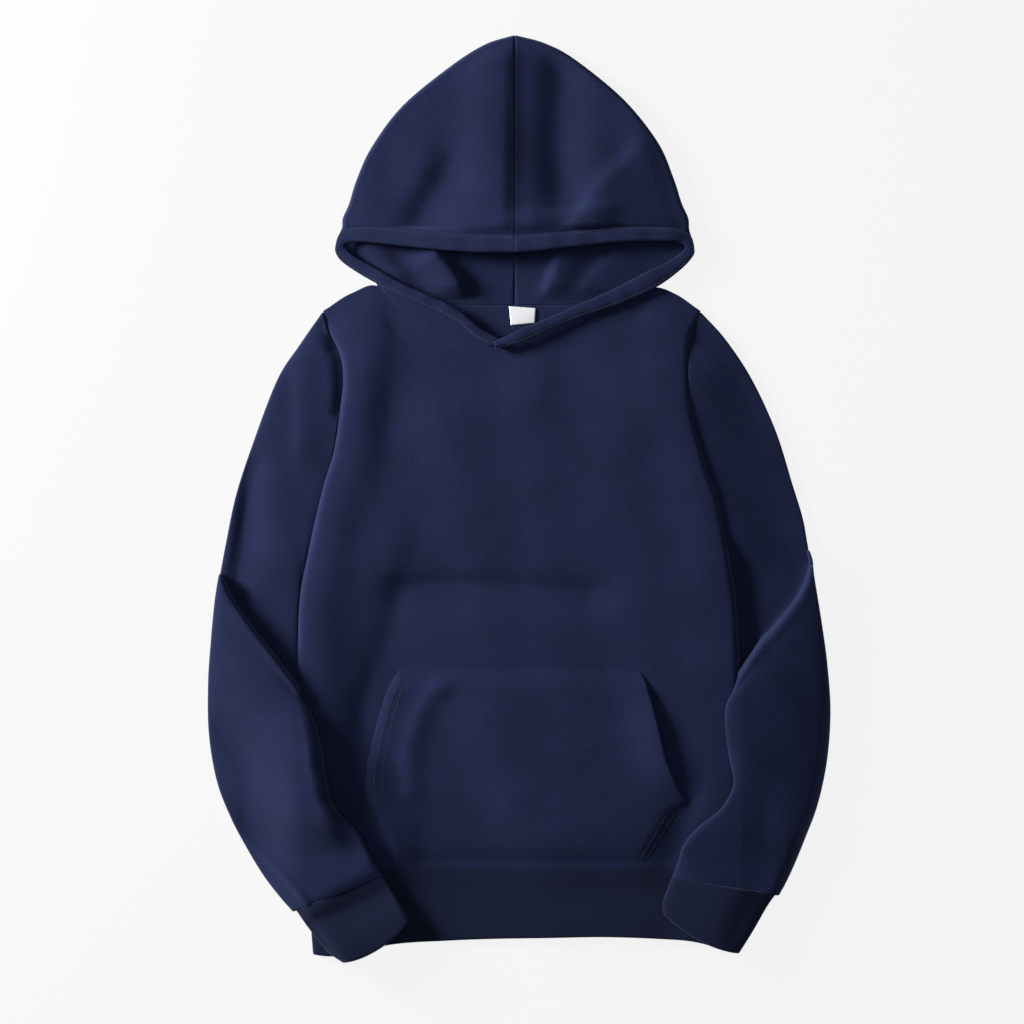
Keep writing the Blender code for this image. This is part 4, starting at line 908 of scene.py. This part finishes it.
def sleeve_grid(side, table, crease_table, rib, fleece):
    """Rings from the armhole, where they meet the body's edge, to the cuff."""
    table = table.copy()
    lap = SEAM if side == LEFT else -SEAM
    ends = body_edges(np.array([SHOULDER_Y, ARMPIT_Y]))[side] + lap
    table[0, 0:4] = ends[0], SHOULDER_Y, ends[1], ARMPIT_Y
    rows = table_rows(table, close_at_ends(*SLEEVE_RINGS))
    lift = rows[:, 5:6]

    def bend(held):
        shift = rows[:, 6:7] * armhole_bend(side, held)
        return np.stack([shift, 0 * shift], -1)

    grid, above = flat_tube(
        rows[:, 0:2], rows[:, 2:4], SLEEVE_POINTS,
        lambda x, y: lift * drape_height(x, y, rib, fleece), rows[:, 4] * PUFF, fleece, bend,
        rows[:, 7:8])
    x, y = grid[..., 0], grid[..., 1]
    grid[..., 2] += above * (creases(crease_table, x, y) + soft_waves(x, y, *SLEEVE_WAVES))
    if side == LEFT:
        beside = np.maximum(x - body_edges(y)[LEFT], 0)
        grid[..., 2] += above * seam_lift(y) * np.exp(-((beside / LEFT_FALL) ** 2))
        slower = drape_height(x, y, rib, fleece, LEFT_SPREAD, LEFT_EVEN)
        grid[..., 2] += above * lift * (slower - drape_height(x, y, rib, fleece))
    return grid


def cuff_grid(table, crease_table, rib, fleece):
    """Rings of a cuff from the sleeve's end towards the hand, bowed out at its open end."""
    first, last = table[0], table[LAST]
    along = np.array([first[1] - first[3], first[2] - first[0]])
    along = along / np.linalg.norm(along)
    along = along * np.sign(along @ (last[0:2] - first[0:2]))
    table = table.copy()
    table[0, 0:4] += np.tile(along * CUFF_LAP, 2)
    rows = table_rows(table, close_at_ends(*CUFF_RINGS))

    def bend(held):
        return (rows[:, 5:6] * 4 * held * (1 - held))[..., None] * along

    grid, above = flat_tube(
        rows[:, 0:2], rows[:, 2:4], CUFF_POINTS,
        lambda x, y: drape_height(x, y, rib, fleece, CUFF_SPREAD), rows[:, 4] * PUFF, rib, bend,
        CUFF_LEAN)
    grid[..., 2] += above * creases(crease_table, grid[..., 0], grid[..., 1])
    return grid


# ------------------------------------------------------------------ hood


def hood_grid(side, table, seam_x):
    """Lines of cloth from the face edge out to the fold and back to the centre seam.

    Along each line the distance from the fold is softened to a round turn, and the height passes
    from the upper layer to the lower one on the way round.
    """
    shares = close_at_ends(*HOOD_ROWS)
    edge, fold = np.split(table_rows(table, shares), 2, axis=1)
    edge_z, fold_z, seam_y = np.split(table_rows(HOOD_LINES, shares), 3, axis=1)
    seam = np.hstack([np.full(seam_y.shape, seam_x), seam_y])
    start = -np.linalg.norm(edge - fold, axis=1, keepdims=True)
    curl = CURL_TURN * (1 - np.minimum(-start / CURL_REACH, 1))
    turn = np.maximum((fold_z - BACK_LEVEL) * FOLD_TURN, curl)
    soft = (fold_z - BACK_LEVEL) * FOLD_SOFT
    upper_end = np.maximum(-turn, start + LEAST_UPPER)
    turn_end = np.maximum(turn, upper_end + LEAST_TURN)
    end = np.maximum(np.linalg.norm(seam - fold, axis=1, keepdims=True), turn_end + LEAST_LOWER)
    upper = close_at_ends(*HOOD_UPPER)[:-1]
    lower = close_at_ends(*HOOD_LOWER)
    along = np.concatenate([
        start + (upper_end - start) * upper,
        upper_end + (turn_end - upper_end) * np.linspace(0, 1, HOOD_TURN_STEPS + 1)[:-1],
        turn_end + (end - turn_end) * lower,
    ], 1)
    from_fold = np.sqrt(along**2 + soft**2) - soft
    on_upper = np.where(along < 0, from_fold / from_fold[:, :1], 0)
    on_lower = np.where(along < 0, 0, from_fold / from_fold[:, LAST:])
    plan = fold[:, None] + (edge - fold)[:, None] * on_upper[..., None]
    plan = plan + (seam - fold)[:, None] * on_lower[..., None]
    high = fold_z + (edge_z - fold_z) * on_upper
    held_up = 1 - ease((along + turn) / (2 * turn))
    z = BACK_LEVEL + (high - BACK_LEVEL) * held_up / held_up[:, :1]
    grid = np.dstack([plan, z])
    fading = 1 - ease(shares / NECK_SHARE)
    grid += fading[:, None, None] * (neck_seam(grid[0], side, len(upper)) - grid[0])
    grid[:, LAST, 0] = seam_x
    grid[LAST, :, 0] = seam_x
    x, y = grid[..., 0], grid[..., 1]
    above = ease(-along / LAYER_FADE) * ease((along - start) / EDGE_FADE)
    above = above * ease((shares[:, None] - OUTER_FROM) / CREASE_TURN)
    grid[..., 2] += above * (creases(HOOD_CREASES, x, y) + soft_waves(x, y, *HOOD_WAVES))
    below = ease(along / LAYER_FADE) * ease((shares[:, None] - INSIDE_FROM) / CREASE_TURN)
    grid[..., 2] += below * np.maximum(creases(INSIDE_CREASES, x, y), 0)
    return grid


def neck_seam(line, side, upper):
    """The hood's lowest line of cloth, laid along the front's neckline and the back's."""
    line = line.copy()
    neck_x = BACK_TOP[(0, LAST)[side], 0] * NECK_REACH
    front_x = line[0, 0] + (neck_x - line[0, 0]) * np.arange(upper) / upper
    line[:upper, 0] = front_x
    line[:upper, 1] = front_top(front_x) + NECK_GAP
    line[:upper, 2] = front_height(front_x, front_top(front_x))
    first = upper + HOOD_TURN_STEPS
    back_x = np.linspace(line[first, 0], line[LAST, 0], len(line) - first)
    line[first:, 0] = back_x
    line[first:, 1] = back_top(back_x) + NECK_GAP
    return line


def band_frame(table, rings):
    """Along a turned edge: its middle, the half width across it and the direction up from it."""
    rows = table_rows(table, np.linspace(0, 1, rings))
    outer, inner = rows[:, 0:3], rows[:, 3:6]
    half = (inner - outer) / 2
    middle = (inner + outer) / 2
    up = np.cross(half, np.gradient(middle, axis=0))
    up = up / np.linalg.norm(up, axis=1, keepdims=True)
    return middle, half, up * np.sign(up[:, 2:3])


def band_mesh(name, table, seam_x, turned):
    """The turned face edge: a flattened ring of cloth carried from the neck up to the centre.

    The ring is a squared ellipse, with a groove along the side where it is stitched down.
    """
    rings, points = BAND_GRID
    middle, half, up = band_frame(table, rings)
    width = np.linalg.norm(half, axis=1, keepdims=True)
    angle = np.linspace(0, 2 * np.pi, points, endpoint=False)
    sideways = np.sign(np.cos(angle)) * np.abs(np.cos(angle)) ** BAND_POWER
    upward = np.sign(np.sin(angle)) * np.abs(np.sin(angle)) ** BAND_POWER
    groove = GROOVE_DEPTH * np.exp(-(((sideways + GROOVE_PLACE) / GROOVE_WIDTH) ** 2))
    upward = np.where(upward > 0, upward * (1 - groove), upward)
    uneven = soft_waves(middle[:, 0], middle[:, 1], *EDGE_WAVES)[:, None]
    grid = middle[:, None] + (half / width)[:, None] * ((width - SEAM / 2) * sideways)[..., None]
    grid = grid + up[:, None] * (turned / 2 * upward + uneven)[..., None]
    grid[LAST, :, 0] = seam_x
    return tube_mesh(name, grid)


def tube_mesh(name, grid):
    """A filled tube through rings of points, its ends closed by strips across the ring."""
    rings, points = grid.shape[:2]
    row, column = grid_quads(rings, points, True)
    faces = row * points + column % points
    around = np.concatenate([grid, grid[:, :1]], 1)
    uv = np.stack([arc_lengths(around, axis)[row, column] for axis in (1, 0)], -1) * MM
    step = np.arange(points // 2 - 1)[:, None]
    cap = np.hstack([step, step + 1, points - 2 - step, points - 1 - step])
    caps = np.vstack([cap[:, ::-1], cap + (rings - 1) * points])
    return facing_out(name, grid.reshape(-1, 3), np.vstack([faces, caps]),
                      np.vstack([uv, np.zeros(caps.shape + (2,))]))


# ------------------------------------------------------------------ sewing


def even_steps(path, step):
    """Points at even distances along a path, with the path's direction at each."""
    along = np.concatenate([[0], np.cumsum(np.linalg.norm(np.diff(path, axis=0), axis=1))])
    count = max(int(along[LAST] / step), 2)
    at = (np.arange(count) + 0.5) * along[LAST] / count
    place = np.stack([np.interp(at, along, path[:, i]) for i in range(3)], -1)
    ahead = np.stack([np.interp(at + 0.5, along, path[:, i]) for i in range(3)], -1)
    behind = np.stack([np.interp(at - 0.5, along, path[:, i]) for i in range(3)], -1)
    heading = ahead - behind
    return place, heading / np.linalg.norm(heading, axis=1, keepdims=True)


def stitch_mesh(name, paths, stitch, thread):
    """Rows of stitches: each a small spindle with six sides, sunk to its middle in the cloth.

    Its rings of points lie along the row's heading, narrower at both ends.
    """
    rings = np.array([-0.5, -0.36, 0.0, 0.36, 0.5])
    girth = np.array([0.15, 0.8, 1.0, 0.8, 0.15])
    sides = np.linspace(0, 2 * np.pi, 6, endpoint=False)
    row, column = grid_quads(len(rings), len(sides), True)
    quads = row * len(sides) + column % len(sides)
    end = np.array([[0, 1, 2, 3], [0, 3, 4, 5]])
    quads = np.vstack([quads, end[:, ::-1], end + (len(rings) - 1) * len(sides)])
    points = []
    for path in paths:
        place, heading = even_steps(path, stitch)
        sideways = np.cross(heading, [0.0, 0.0, 1.0])
        sideways = sideways / np.linalg.norm(sideways, axis=1, keepdims=True)
        up = np.cross(sideways, heading)
        along = (rings * stitch * STITCH_SHARE)[None, :, None, None] * heading[:, None, None]
        spread = girth[:, None] * np.cos(sides) * thread / 2
        rise = girth[:, None] * np.sin(sides) * thread / 2
        spindle = place[:, None, None] + along + spread[None, ..., None] * sideways[:, None, None]
        spindle = spindle + rise[None, ..., None] * up[:, None, None]
        points.append(spindle.reshape(-1, 3))
    points = np.vstack(points)
    each = len(rings) * len(sides)
    first = np.arange(len(points) // each)[:, None, None] * each
    return facing_out(name, points, (first + quads).reshape(-1, 4))


# ------------------------------------------------------------------ materials

WAVE_LENGTH = 0.314  # m from one wave to the next in a wave texture of scale 1
GLOW = "#a0aeda"  # the bluish light that a short nap throws back
FLEECE, RIB, THREAD = "brushed navy fleece", "knitted navy rib", "spun navy thread"


def add_node(tree, kind, inputs, **settings):
    """A node with its settings; each input is a value, or a socket that is linked to it."""
    node = tree.nodes.new(kind)
    for name, value in settings.items():
        setattr(node, name, value)
    for name, value in inputs.items():
        if isinstance(value, bpy.types.NodeSocket):
            tree.links.new(value, node.inputs[name])
        else:
            node.inputs[name].default_value = value
    return node


def new_material(name):
    """A material without any nodes yet, and its node tree."""
    material = bpy.data.materials.new(name)
    material.use_nodes = True
    material.node_tree.nodes.clear()
    return material, material.node_tree


def matt_cloth(tree, tone, relief, strength, depth, sheen, spread):
    """The surface of dyed cotton: its relief, next to no gloss, and the glow of its short nap."""
    bump = add_node(tree, "ShaderNodeBump", {
        "Height": relief.outputs[0], "Strength": strength, "Distance": depth})
    shader = add_node(tree, "ShaderNodeBsdfPrincipled", {
        "Base Color": tone.outputs[2], "Roughness": 0.92, "Sheen Weight": sheen,
        "Sheen Roughness": spread, "Sheen Tint": (*linear(GLOW), 1.0),
        "Specular IOR Level": 0.1, "Normal": bump.outputs["Normal"]})
    add_node(tree, "ShaderNodeOutputMaterial", {"Surface": shader.outputs["BSDF"]})


def brushed_fleece(name, colour, paler):
    """Loopback cotton fleece, knitted, dyed in the piece and brushed.

    A dull navy with a short nap: a soft glow where the surface turns away, a faint grain of knitted
    columns, and a slow mottle where the nap lies differently.
    """
    material, tree = new_material(name)
    cloth = add_node(tree, "ShaderNodeUVMap", {}, uv_map="cloth").outputs["UV"]
    place = add_node(tree, "ShaderNodeTexCoord", {}).outputs["Object"]
    # Knitted columns are 0.9 mm apart in the cloth, drawn at 1.8 mm so that they show
    columns = add_node(tree, "ShaderNodeTexWave", {
        "Vector": cloth, "Scale": WAVE_LENGTH / 0.0018, "Distortion": 1.4, "Detail": 2.0,
        "Detail Scale": 1.5}, wave_type="BANDS", bands_direction="X", wave_profile="SIN")
    courses = add_node(tree, "ShaderNodeTexWave", {
        "Vector": cloth, "Scale": WAVE_LENGTH / 0.0016, "Distortion": 2.0, "Detail": 2.0,
        "Detail Scale": 1.5}, wave_type="BANDS", bands_direction="Y", wave_profile="SIN")
    knit = add_node(tree, "ShaderNodeMath", {
        0: columns.outputs["Fac"], 1: courses.outputs["Fac"]}, operation="MULTIPLY")
    # The nap's tufts, about 2.5 mm
    nap = add_node(tree, "ShaderNodeTexNoise", {
        "Vector": place, "Scale": 1 / 0.0025, "Detail": 4.0, "Roughness": 0.65})
    # Where the nap is laid another way, in patches of about 45 mm
    mottle = add_node(tree, "ShaderNodeTexNoise", {
        "Vector": place, "Scale": 1 / 0.045, "Detail": 3.0, "Roughness": 0.55})
    shade = add_node(tree, "ShaderNodeMath", {
        0: mottle.outputs["Fac"], 1: nap.outputs["Fac"]}, operation="MULTIPLY")
    share = add_node(tree, "ShaderNodeMapRange", {
        "Value": shade.outputs[0], "From Min": 0.14, "From Max": 0.38})
    tone = add_node(tree, "ShaderNodeMix", {
        0: share.outputs["Result"], 6: (*colour, 1.0), 7: (*paler, 1.0)}, data_type="RGBA")
    relief = add_node(tree, "ShaderNodeMath", {
        0: knit.outputs[0], 1: 0.55, 2: nap.outputs["Fac"]}, operation="MULTIPLY_ADD")
    matt_cloth(tree, tone, relief, 0.5, 0.0005, 0.25, 0.45)
    return material


def knitted_rib(name, colour, pitch):
    """Cotton rib knitted one by one and folded double.

    Close, soft ribs run from the seam to the edge, with a faint painted shade in the grooves
    between them. The knit's ribs are about 2.5 mm apart, and its pitch is drawn a little coarser so
    that it shows.
    """
    material, tree = new_material(name)
    cloth = add_node(tree, "ShaderNodeUVMap", {}, uv_map="cloth").outputs["UV"]
    place = add_node(tree, "ShaderNodeTexCoord", {}).outputs["Object"]
    ribs = add_node(tree, "ShaderNodeTexWave", {
        "Vector": cloth, "Scale": WAVE_LENGTH / pitch, "Distortion": 0.5, "Detail": 1.0,
        "Detail Scale": 1.0}, wave_type="BANDS", bands_direction="X", wave_profile="SIN")
    # The yarn's fuzz, about 2 mm
    nap = add_node(tree, "ShaderNodeTexNoise", {
        "Vector": place, "Scale": 1 / 0.002, "Detail": 4.0, "Roughness": 0.6})
    # Painted shade: the grooves between the ribs are coloured a little darker than the ribs.
    groove = tuple(0.95 * value for value in colour)
    tone = add_node(tree, "ShaderNodeMix", {
        0: ribs.outputs["Fac"], 6: (*groove, 1.0), 7: (*colour, 1.0)}, data_type="RGBA")
    relief = add_node(tree, "ShaderNodeMath", {
        0: nap.outputs["Fac"], 1: 0.3, 2: ribs.outputs["Fac"]}, operation="MULTIPLY_ADD")
    matt_cloth(tree, tone, relief, 0.2, 0.0002, 0.2, 0.5)
    return material


def spun_thread(name, colour):
    """Spun polyester thread: a slightly paler navy with a low lustre, twisted."""
    material, tree = new_material(name)
    place = add_node(tree, "ShaderNodeTexCoord", {}).outputs["Object"]
    twist = add_node(tree, "ShaderNodeTexNoise", {
        "Vector": place, "Scale": 1 / 0.0006, "Detail": 2.0})
    deep = tuple(0.7 * value for value in colour)
    tone = add_node(tree, "ShaderNodeMix", {
        0: twist.outputs["Fac"], 6: (*deep, 1.0), 7: (*colour, 1.0)}, data_type="RGBA")
    shader = add_node(tree, "ShaderNodeBsdfPrincipled", {
        "Base Color": tone.outputs[2], "Roughness": 0.6, "Sheen Weight": 0.15})
    add_node(tree, "ShaderNodeOutputMaterial", {"Surface": shader.outputs["BSDF"]})
    return material


def woven_satin(name, colour):
    """Polyester satin ribbon, woven and heat cut: white, smooth, with a faint cross grain."""
    material, tree = new_material(name)
    cloth = add_node(tree, "ShaderNodeUVMap", {}, uv_map="cloth").outputs["UV"]
    # Picks are 0.3 mm apart in the ribbon, drawn at 0.8 mm so that they show
    picks = add_node(tree, "ShaderNodeTexWave", {
        "Vector": cloth, "Scale": WAVE_LENGTH / 0.0008, "Distortion": 0.6}, bands_direction="Y")
    greyer = tuple(0.86 * value for value in colour)
    tone = add_node(tree, "ShaderNodeMix", {
        0: picks.outputs["Fac"], 6: (*greyer, 1.0), 7: (*colour, 1.0)}, data_type="RGBA")
    bump = add_node(tree, "ShaderNodeBump", {
        "Height": picks.outputs["Fac"], "Strength": 0.3, "Distance": 0.0002})
    shader = add_node(tree, "ShaderNodeBsdfPrincipled", {
        "Base Color": tone.outputs[2], "Roughness": 0.45, "Normal": bump.outputs["Normal"]})
    add_node(tree, "ShaderNodeOutputMaterial", {"Surface": shader.outputs["BSDF"]})
    return material


def painted_floor(name, colour):
    """A matt painted studio floor, lit evenly enough that shadows on it stay faint."""
    material, tree = new_material(name)
    shader = add_node(tree, "ShaderNodeBsdfPrincipled", {
        "Base Color": (*linear("#4b4b4b"), 1.0), "Roughness": 1.0, "Specular IOR Level": 0.0,
        "Emission Color": (*colour, 1.0), "Emission Strength": 0.93})
    add_node(tree, "ShaderNodeOutputMaterial", {"Surface": shader.outputs["BSDF"]})
    return material


def shared_material(name):
    """The one fleece, rib or thread that all its pieces share, made when it is first asked for."""
    colours = bpy.context.scene.hoodie_colours
    make, *settings = {
        FLEECE: (brushed_fleece, colours.fleece, colours.worn),
        RIB: (knitted_rib, colours.rib, bpy.context.scene.hoodie_sizes.rib_pitch),
        THREAD: (spun_thread, colours.thread),
    }[name]
    return bpy.data.materials.get(name) or make(name, *settings)


# ------------------------------------------------------------------ operators


class HOODIE_OT_body(bpy.types.Operator):
    """Front and back panels, the front lying on the back."""

    bl_idname = "hoodie.body"
    bl_label = "Body Panels"

    def execute(self, context):
        fleece = context.scene.hoodie_sizes.fleece / MM
        front = wall_mesh("front", front_grid(fleece), fleece)
        item = show("cloth_front", front, shared_material(FLEECE))
        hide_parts("front_panel")
        back = wall_mesh("back", back_grid(fleece), fleece)
        item = show("cloth_back", back, shared_material(FLEECE))
        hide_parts("back_panel")
        return {"FINISHED"}


class HOODIE_OT_hem(bpy.types.Operator):
    """Ribbed hem band below the two panels."""

    bl_idname = "hoodie.hem"
    bl_label = "Hem Band"

    def execute(self, context):
        sizes = context.scene.hoodie_sizes
        fleece, rib = sizes.fleece / MM, sizes.rib / MM
        grid = hem_grid(front_grid(fleece), back_grid(fleece), rib, fleece)
        mesh = wall_mesh("hem", grid, rib, closed=True)
        item = show("cloth_hem", mesh, shared_material(RIB))
        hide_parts("hem_band")
        return {"FINISHED"}


class HOODIE_OT_pocket(bpy.types.Operator):
    """Pouch pocket with two slanting hand openings."""

    bl_idname = "hoodie.pocket"
    bl_label = "Pouch Pocket"

    def execute(self, context):
        fleece = context.scene.hoodie_sizes.fleece / MM
        grid = pocket_points(
            close_at_ends(*POCKET_ROWS), close_at_ends(*POCKET_COLUMNS), fleece)
        mesh = wall_mesh("pocket", grid, fleece)
        item = show("cloth_pocket", mesh, shared_material(FLEECE))
        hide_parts("kangaroo_pocket")
        return {"FINISHED"}


class HOODIE_OT_sleeves(bpy.types.Operator):
    """Two set-in sleeves, folded at the elbow so that the forearms lie over the body."""

    bl_idname = "hoodie.sleeves"
    bl_label = "Sleeves"

    def execute(self, context):
        sizes = context.scene.hoodie_sizes
        fleece, rib = sizes.fleece / MM, sizes.rib / MM
        for name, side, table, crease_table, area in (
            ("right", RIGHT, RIGHT_SLEEVE, RIGHT_SLEEVE_CREASES, 0.116),
            ("left", LEFT, LEFT_SLEEVE, LEFT_SLEEVE_CREASES, 0.109),
        ):
            grid = sleeve_grid(side, table, crease_table, rib, fleece)
            mesh = wall_mesh("sleeve_" + name, grid, fleece, closed=True)
            item = show("cloth_sleeve_" + name, mesh, shared_material(FLEECE))
            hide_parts("sleeve_" + name)
        return {"FINISHED"}


class HOODIE_OT_cuffs(bpy.types.Operator):
    """Ribbed cuffs at the ends of the sleeves."""

    bl_idname = "hoodie.cuffs"
    bl_label = "Cuffs"

    def execute(self, context):
        sizes = context.scene.hoodie_sizes
        rib = sizes.rib / MM
        for name, table, crease_table in (
            ("right", RIGHT_CUFF, RIGHT_CUFF_CREASES),
            ("left", LEFT_CUFF, LEFT_CUFF_CREASES),
        ):
            grid = cuff_grid(table, crease_table, rib, sizes.fleece / MM)
            mesh = wall_mesh("cuff_" + name, grid, rib, closed=True)
            item = show("cloth_cuff_" + name, mesh, shared_material(RIB))
            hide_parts("cuff_" + name)
        return {"FINISHED"}


class HOODIE_OT_hood(bpy.types.Operator):
    """Hood in two halves that meet at the centre seam, laid flat with its face edge up."""

    bl_idname = "hoodie.hood"
    bl_label = "Hood"

    def execute(self, context):
        fleece = context.scene.hoodie_sizes.fleece / MM
        for name, *half in (
            ("right", RIGHT, RIGHT_HOOD, HOOD_RIGHT_X),
            ("left", LEFT, LEFT_HOOD, HOOD_LEFT_X),
        ):
            mesh = wall_mesh("hood_" + name, hood_grid(*half), fleece)
            item = show("cloth_hood_" + name, mesh, shared_material(FLEECE))
            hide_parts("hood_" + name)
        return {"FINISHED"}


class HOODIE_OT_hood_edges(bpy.types.Operator):
    """Turned and stitched face edges of the hood, the left over the right at the throat."""

    bl_idname = "hoodie.hood_edges"
    bl_label = "Hood Edges"

    def execute(self, context):
        turned = context.scene.hoodie_sizes.turned / MM
        for name, seam_x, table in (
            ("right", HOOD_RIGHT_X, RIGHT_BAND),
            ("left", HOOD_LEFT_X, LEFT_BAND),
        ):
            mesh = band_mesh("edge_" + name, table, seam_x, turned)
            item = show("cloth_edge_" + name, mesh, shared_material(FLEECE))
            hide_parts("hood_edge_" + name)
        return {"FINISHED"}


class HOODIE_OT_label(bpy.types.Operator):
    """Bare white label sewn to the back's neck: a plane between its corners, with a low bulge."""

    bl_idname = "hoodie.label"
    bl_label = "Neck Label"

    def execute(self, context):
        thickness = context.scene.hoodie_sizes.label / MM
        rows, columns = LABEL_GRID
        down = np.linspace(0, 1, rows)[:, None, None]
        across = np.linspace(0, 1, columns)[None, :, None]
        top, bottom = LABEL_CORNERS
        plan = (top[0] + (top[1] - top[0]) * across) * (1 - down)
        plan = plan + (bottom[0] + (bottom[1] - bottom[0]) * across) * down
        z = 2 * BACK_LEVEL + LABEL_CLEAR + thickness / 2
        z = z + LABEL_BULGE * np.sin(np.pi * down) * np.sin(LABEL_TURN * across)
        colour = context.scene.hoodie_colours.label
        item = show("neck_label_ribbon", wall_mesh("label", np.dstack([plan, z]), thickness),
                    woven_satin("woven white satin", colour))
        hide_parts("neck_label")
        return {"FINISHED"}


class HOODIE_OT_stitching(bpy.types.Operator):
    """Topstitching along the hood's turned edges and the pocket."""

    bl_idname = "hoodie.stitching"
    bl_label = "Topstitching"

    def execute(self, context):
        sizes = context.scene.hoodie_sizes
        fleece, turned = sizes.fleece / MM, sizes.turned / MM
        rows = {}
        for name, table in (("edge_right", RIGHT_BAND), ("edge_left", LEFT_BAND)):
            middle, half, up = band_frame(table, BAND_GRID[0])
            path = middle - half * GROOVE_PLACE + up * turned * GROOVE_SEAT
            rows[name] = [path[EDGE_STITCHED]]
        top_steps, side_steps = STITCH_STEPS
        along, up = POCKET_TOP_STITCHES
        along = np.linspace(*along, top_steps)[:, None]
        paths = [pocket_points(np.full(top_steps, up), along, fleece)]
        for across, *ends in POCKET_SIDE_STITCHES:
            paths.append(pocket_points(np.linspace(*ends, side_steps), across, fleece))
        rows["pocket"] = [path[:, 0] + [0, 0, fleece / 2] for path in paths]
        for name, paths in rows.items():
            mesh = stitch_mesh("stitches_" + name, paths, sizes.stitch / MM, sizes.thread / MM)
            show("stitches_" + name, mesh, shared_material(THREAD))
        return {"FINISHED"}


class HOODIE_OT_stage(bpy.types.Operator):
    """Pale floor, low soft light from the upper left, and a camera looking straight down."""

    bl_idname = "hoodie.stage"
    bl_label = "Stage"

    def execute(self, context):
        scene = context.scene
        scene.view_settings.view_transform = "Standard"
        mesh = bpy.data.meshes.new("floor")
        corners = [(x * FLOOR_HALF, y * FLOOR_HALF, FLOOR_LEVEL)
                   for x, y in ((-1, -1), (1, -1), (1, 1), (-1, 1))]
        mesh.from_pydata(corners, [], [(0, 1, 2, 3)])
        mesh.materials.append(painted_floor("matt floor paint", scene.hoodie_colours.floor))
        floor = bpy.data.objects.new("floor", mesh)
        scene.collection.objects.link(floor)
        for name, place, width, watts in SOFTBOXES:
            lamp = bpy.data.lights.new(name, "AREA")
            lamp.shape = "SQUARE"
            lamp.size = width
            lamp.energy = watts
            light = bpy.data.objects.new(name, lamp)
            light.location = place
            light.rotation_euler = (-light.location).to_track_quat("-Z", "Y").to_euler()
            scene.collection.objects.link(light)
        scene.world = bpy.data.worlds.new("studio")
        scene.world.use_nodes = True
        background = scene.world.node_tree.nodes["Background"].inputs
        background["Color"].default_value = (*linear(ROOM_GREY), 1)
        background["Strength"].default_value = ROOM_STRENGTH
        view = bpy.data.cameras.new("camera")
        view.lens = LENS
        view.sensor_width = SENSOR
        view.dof.use_dof = False
        scene.camera = bpy.data.objects.new("camera", view)
        scene.camera.location = (*VIEW_MIDDLE, VIEW_LEVEL + VIEW_WIDTH * LENS / SENSOR)
        scene.collection.objects.link(scene.camera)
        return {"FINISHED"}


class HOODIE_PT_panel(bpy.types.Panel):
    """Sidebar panel with the settings and one button for each group of pieces."""

    bl_idname = "HOODIE_PT_panel"
    bl_label = "Hoodie"
    bl_space_type = "VIEW_3D"
    bl_region_type = "UI"
    bl_category = "Hoodie"

    def draw(self, context):
        layout = self.layout
        for group in (context.scene.hoodie_sizes, context.scene.hoodie_colours):
            column = layout.column(align=True)
            for name in group.__annotations__:
                column.prop(group, name)
        column = layout.column(align=True)
        for operator in OPERATORS:
            column.operator(operator.bl_idname)


OPERATORS = (
    HOODIE_OT_stage,
    HOODIE_OT_body,
    HOODIE_OT_hem,
    HOODIE_OT_pocket,
    HOODIE_OT_sleeves,
    HOODIE_OT_cuffs,
    HOODIE_OT_hood,
    HOODIE_OT_hood_edges,
    HOODIE_OT_label,
    HOODIE_OT_stitching,
)
CLASSES = (HoodieSizes, HoodieColours, *OPERATORS, HOODIE_PT_panel)


def register():
    for item in CLASSES:
        bpy.utils.register_class(item)
    bpy.types.Scene.hoodie_sizes = bpy.props.PointerProperty(type=HoodieSizes)
    bpy.types.Scene.hoodie_colours = bpy.props.PointerProperty(type=HoodieColours)


def unregister():
    del bpy.types.Scene.hoodie_colours
    del bpy.types.Scene.hoodie_sizes
    for item in reversed(CLASSES):
        bpy.utils.unregister_class(item)


def main():
    """Builds every piece in order."""
    register()
    bpy.ops.hoodie.stage()
    bpy.ops.hoodie.body()
    bpy.ops.hoodie.hem()
    bpy.ops.hoodie.pocket()
    bpy.ops.hoodie.sleeves()
    bpy.ops.hoodie.cuffs()
    bpy.ops.hoodie.hood()
    bpy.ops.hoodie.hood_edges()
    bpy.ops.hoodie.label()
    bpy.ops.hoodie.stitching()


if __name__ == "__main__":
    main()
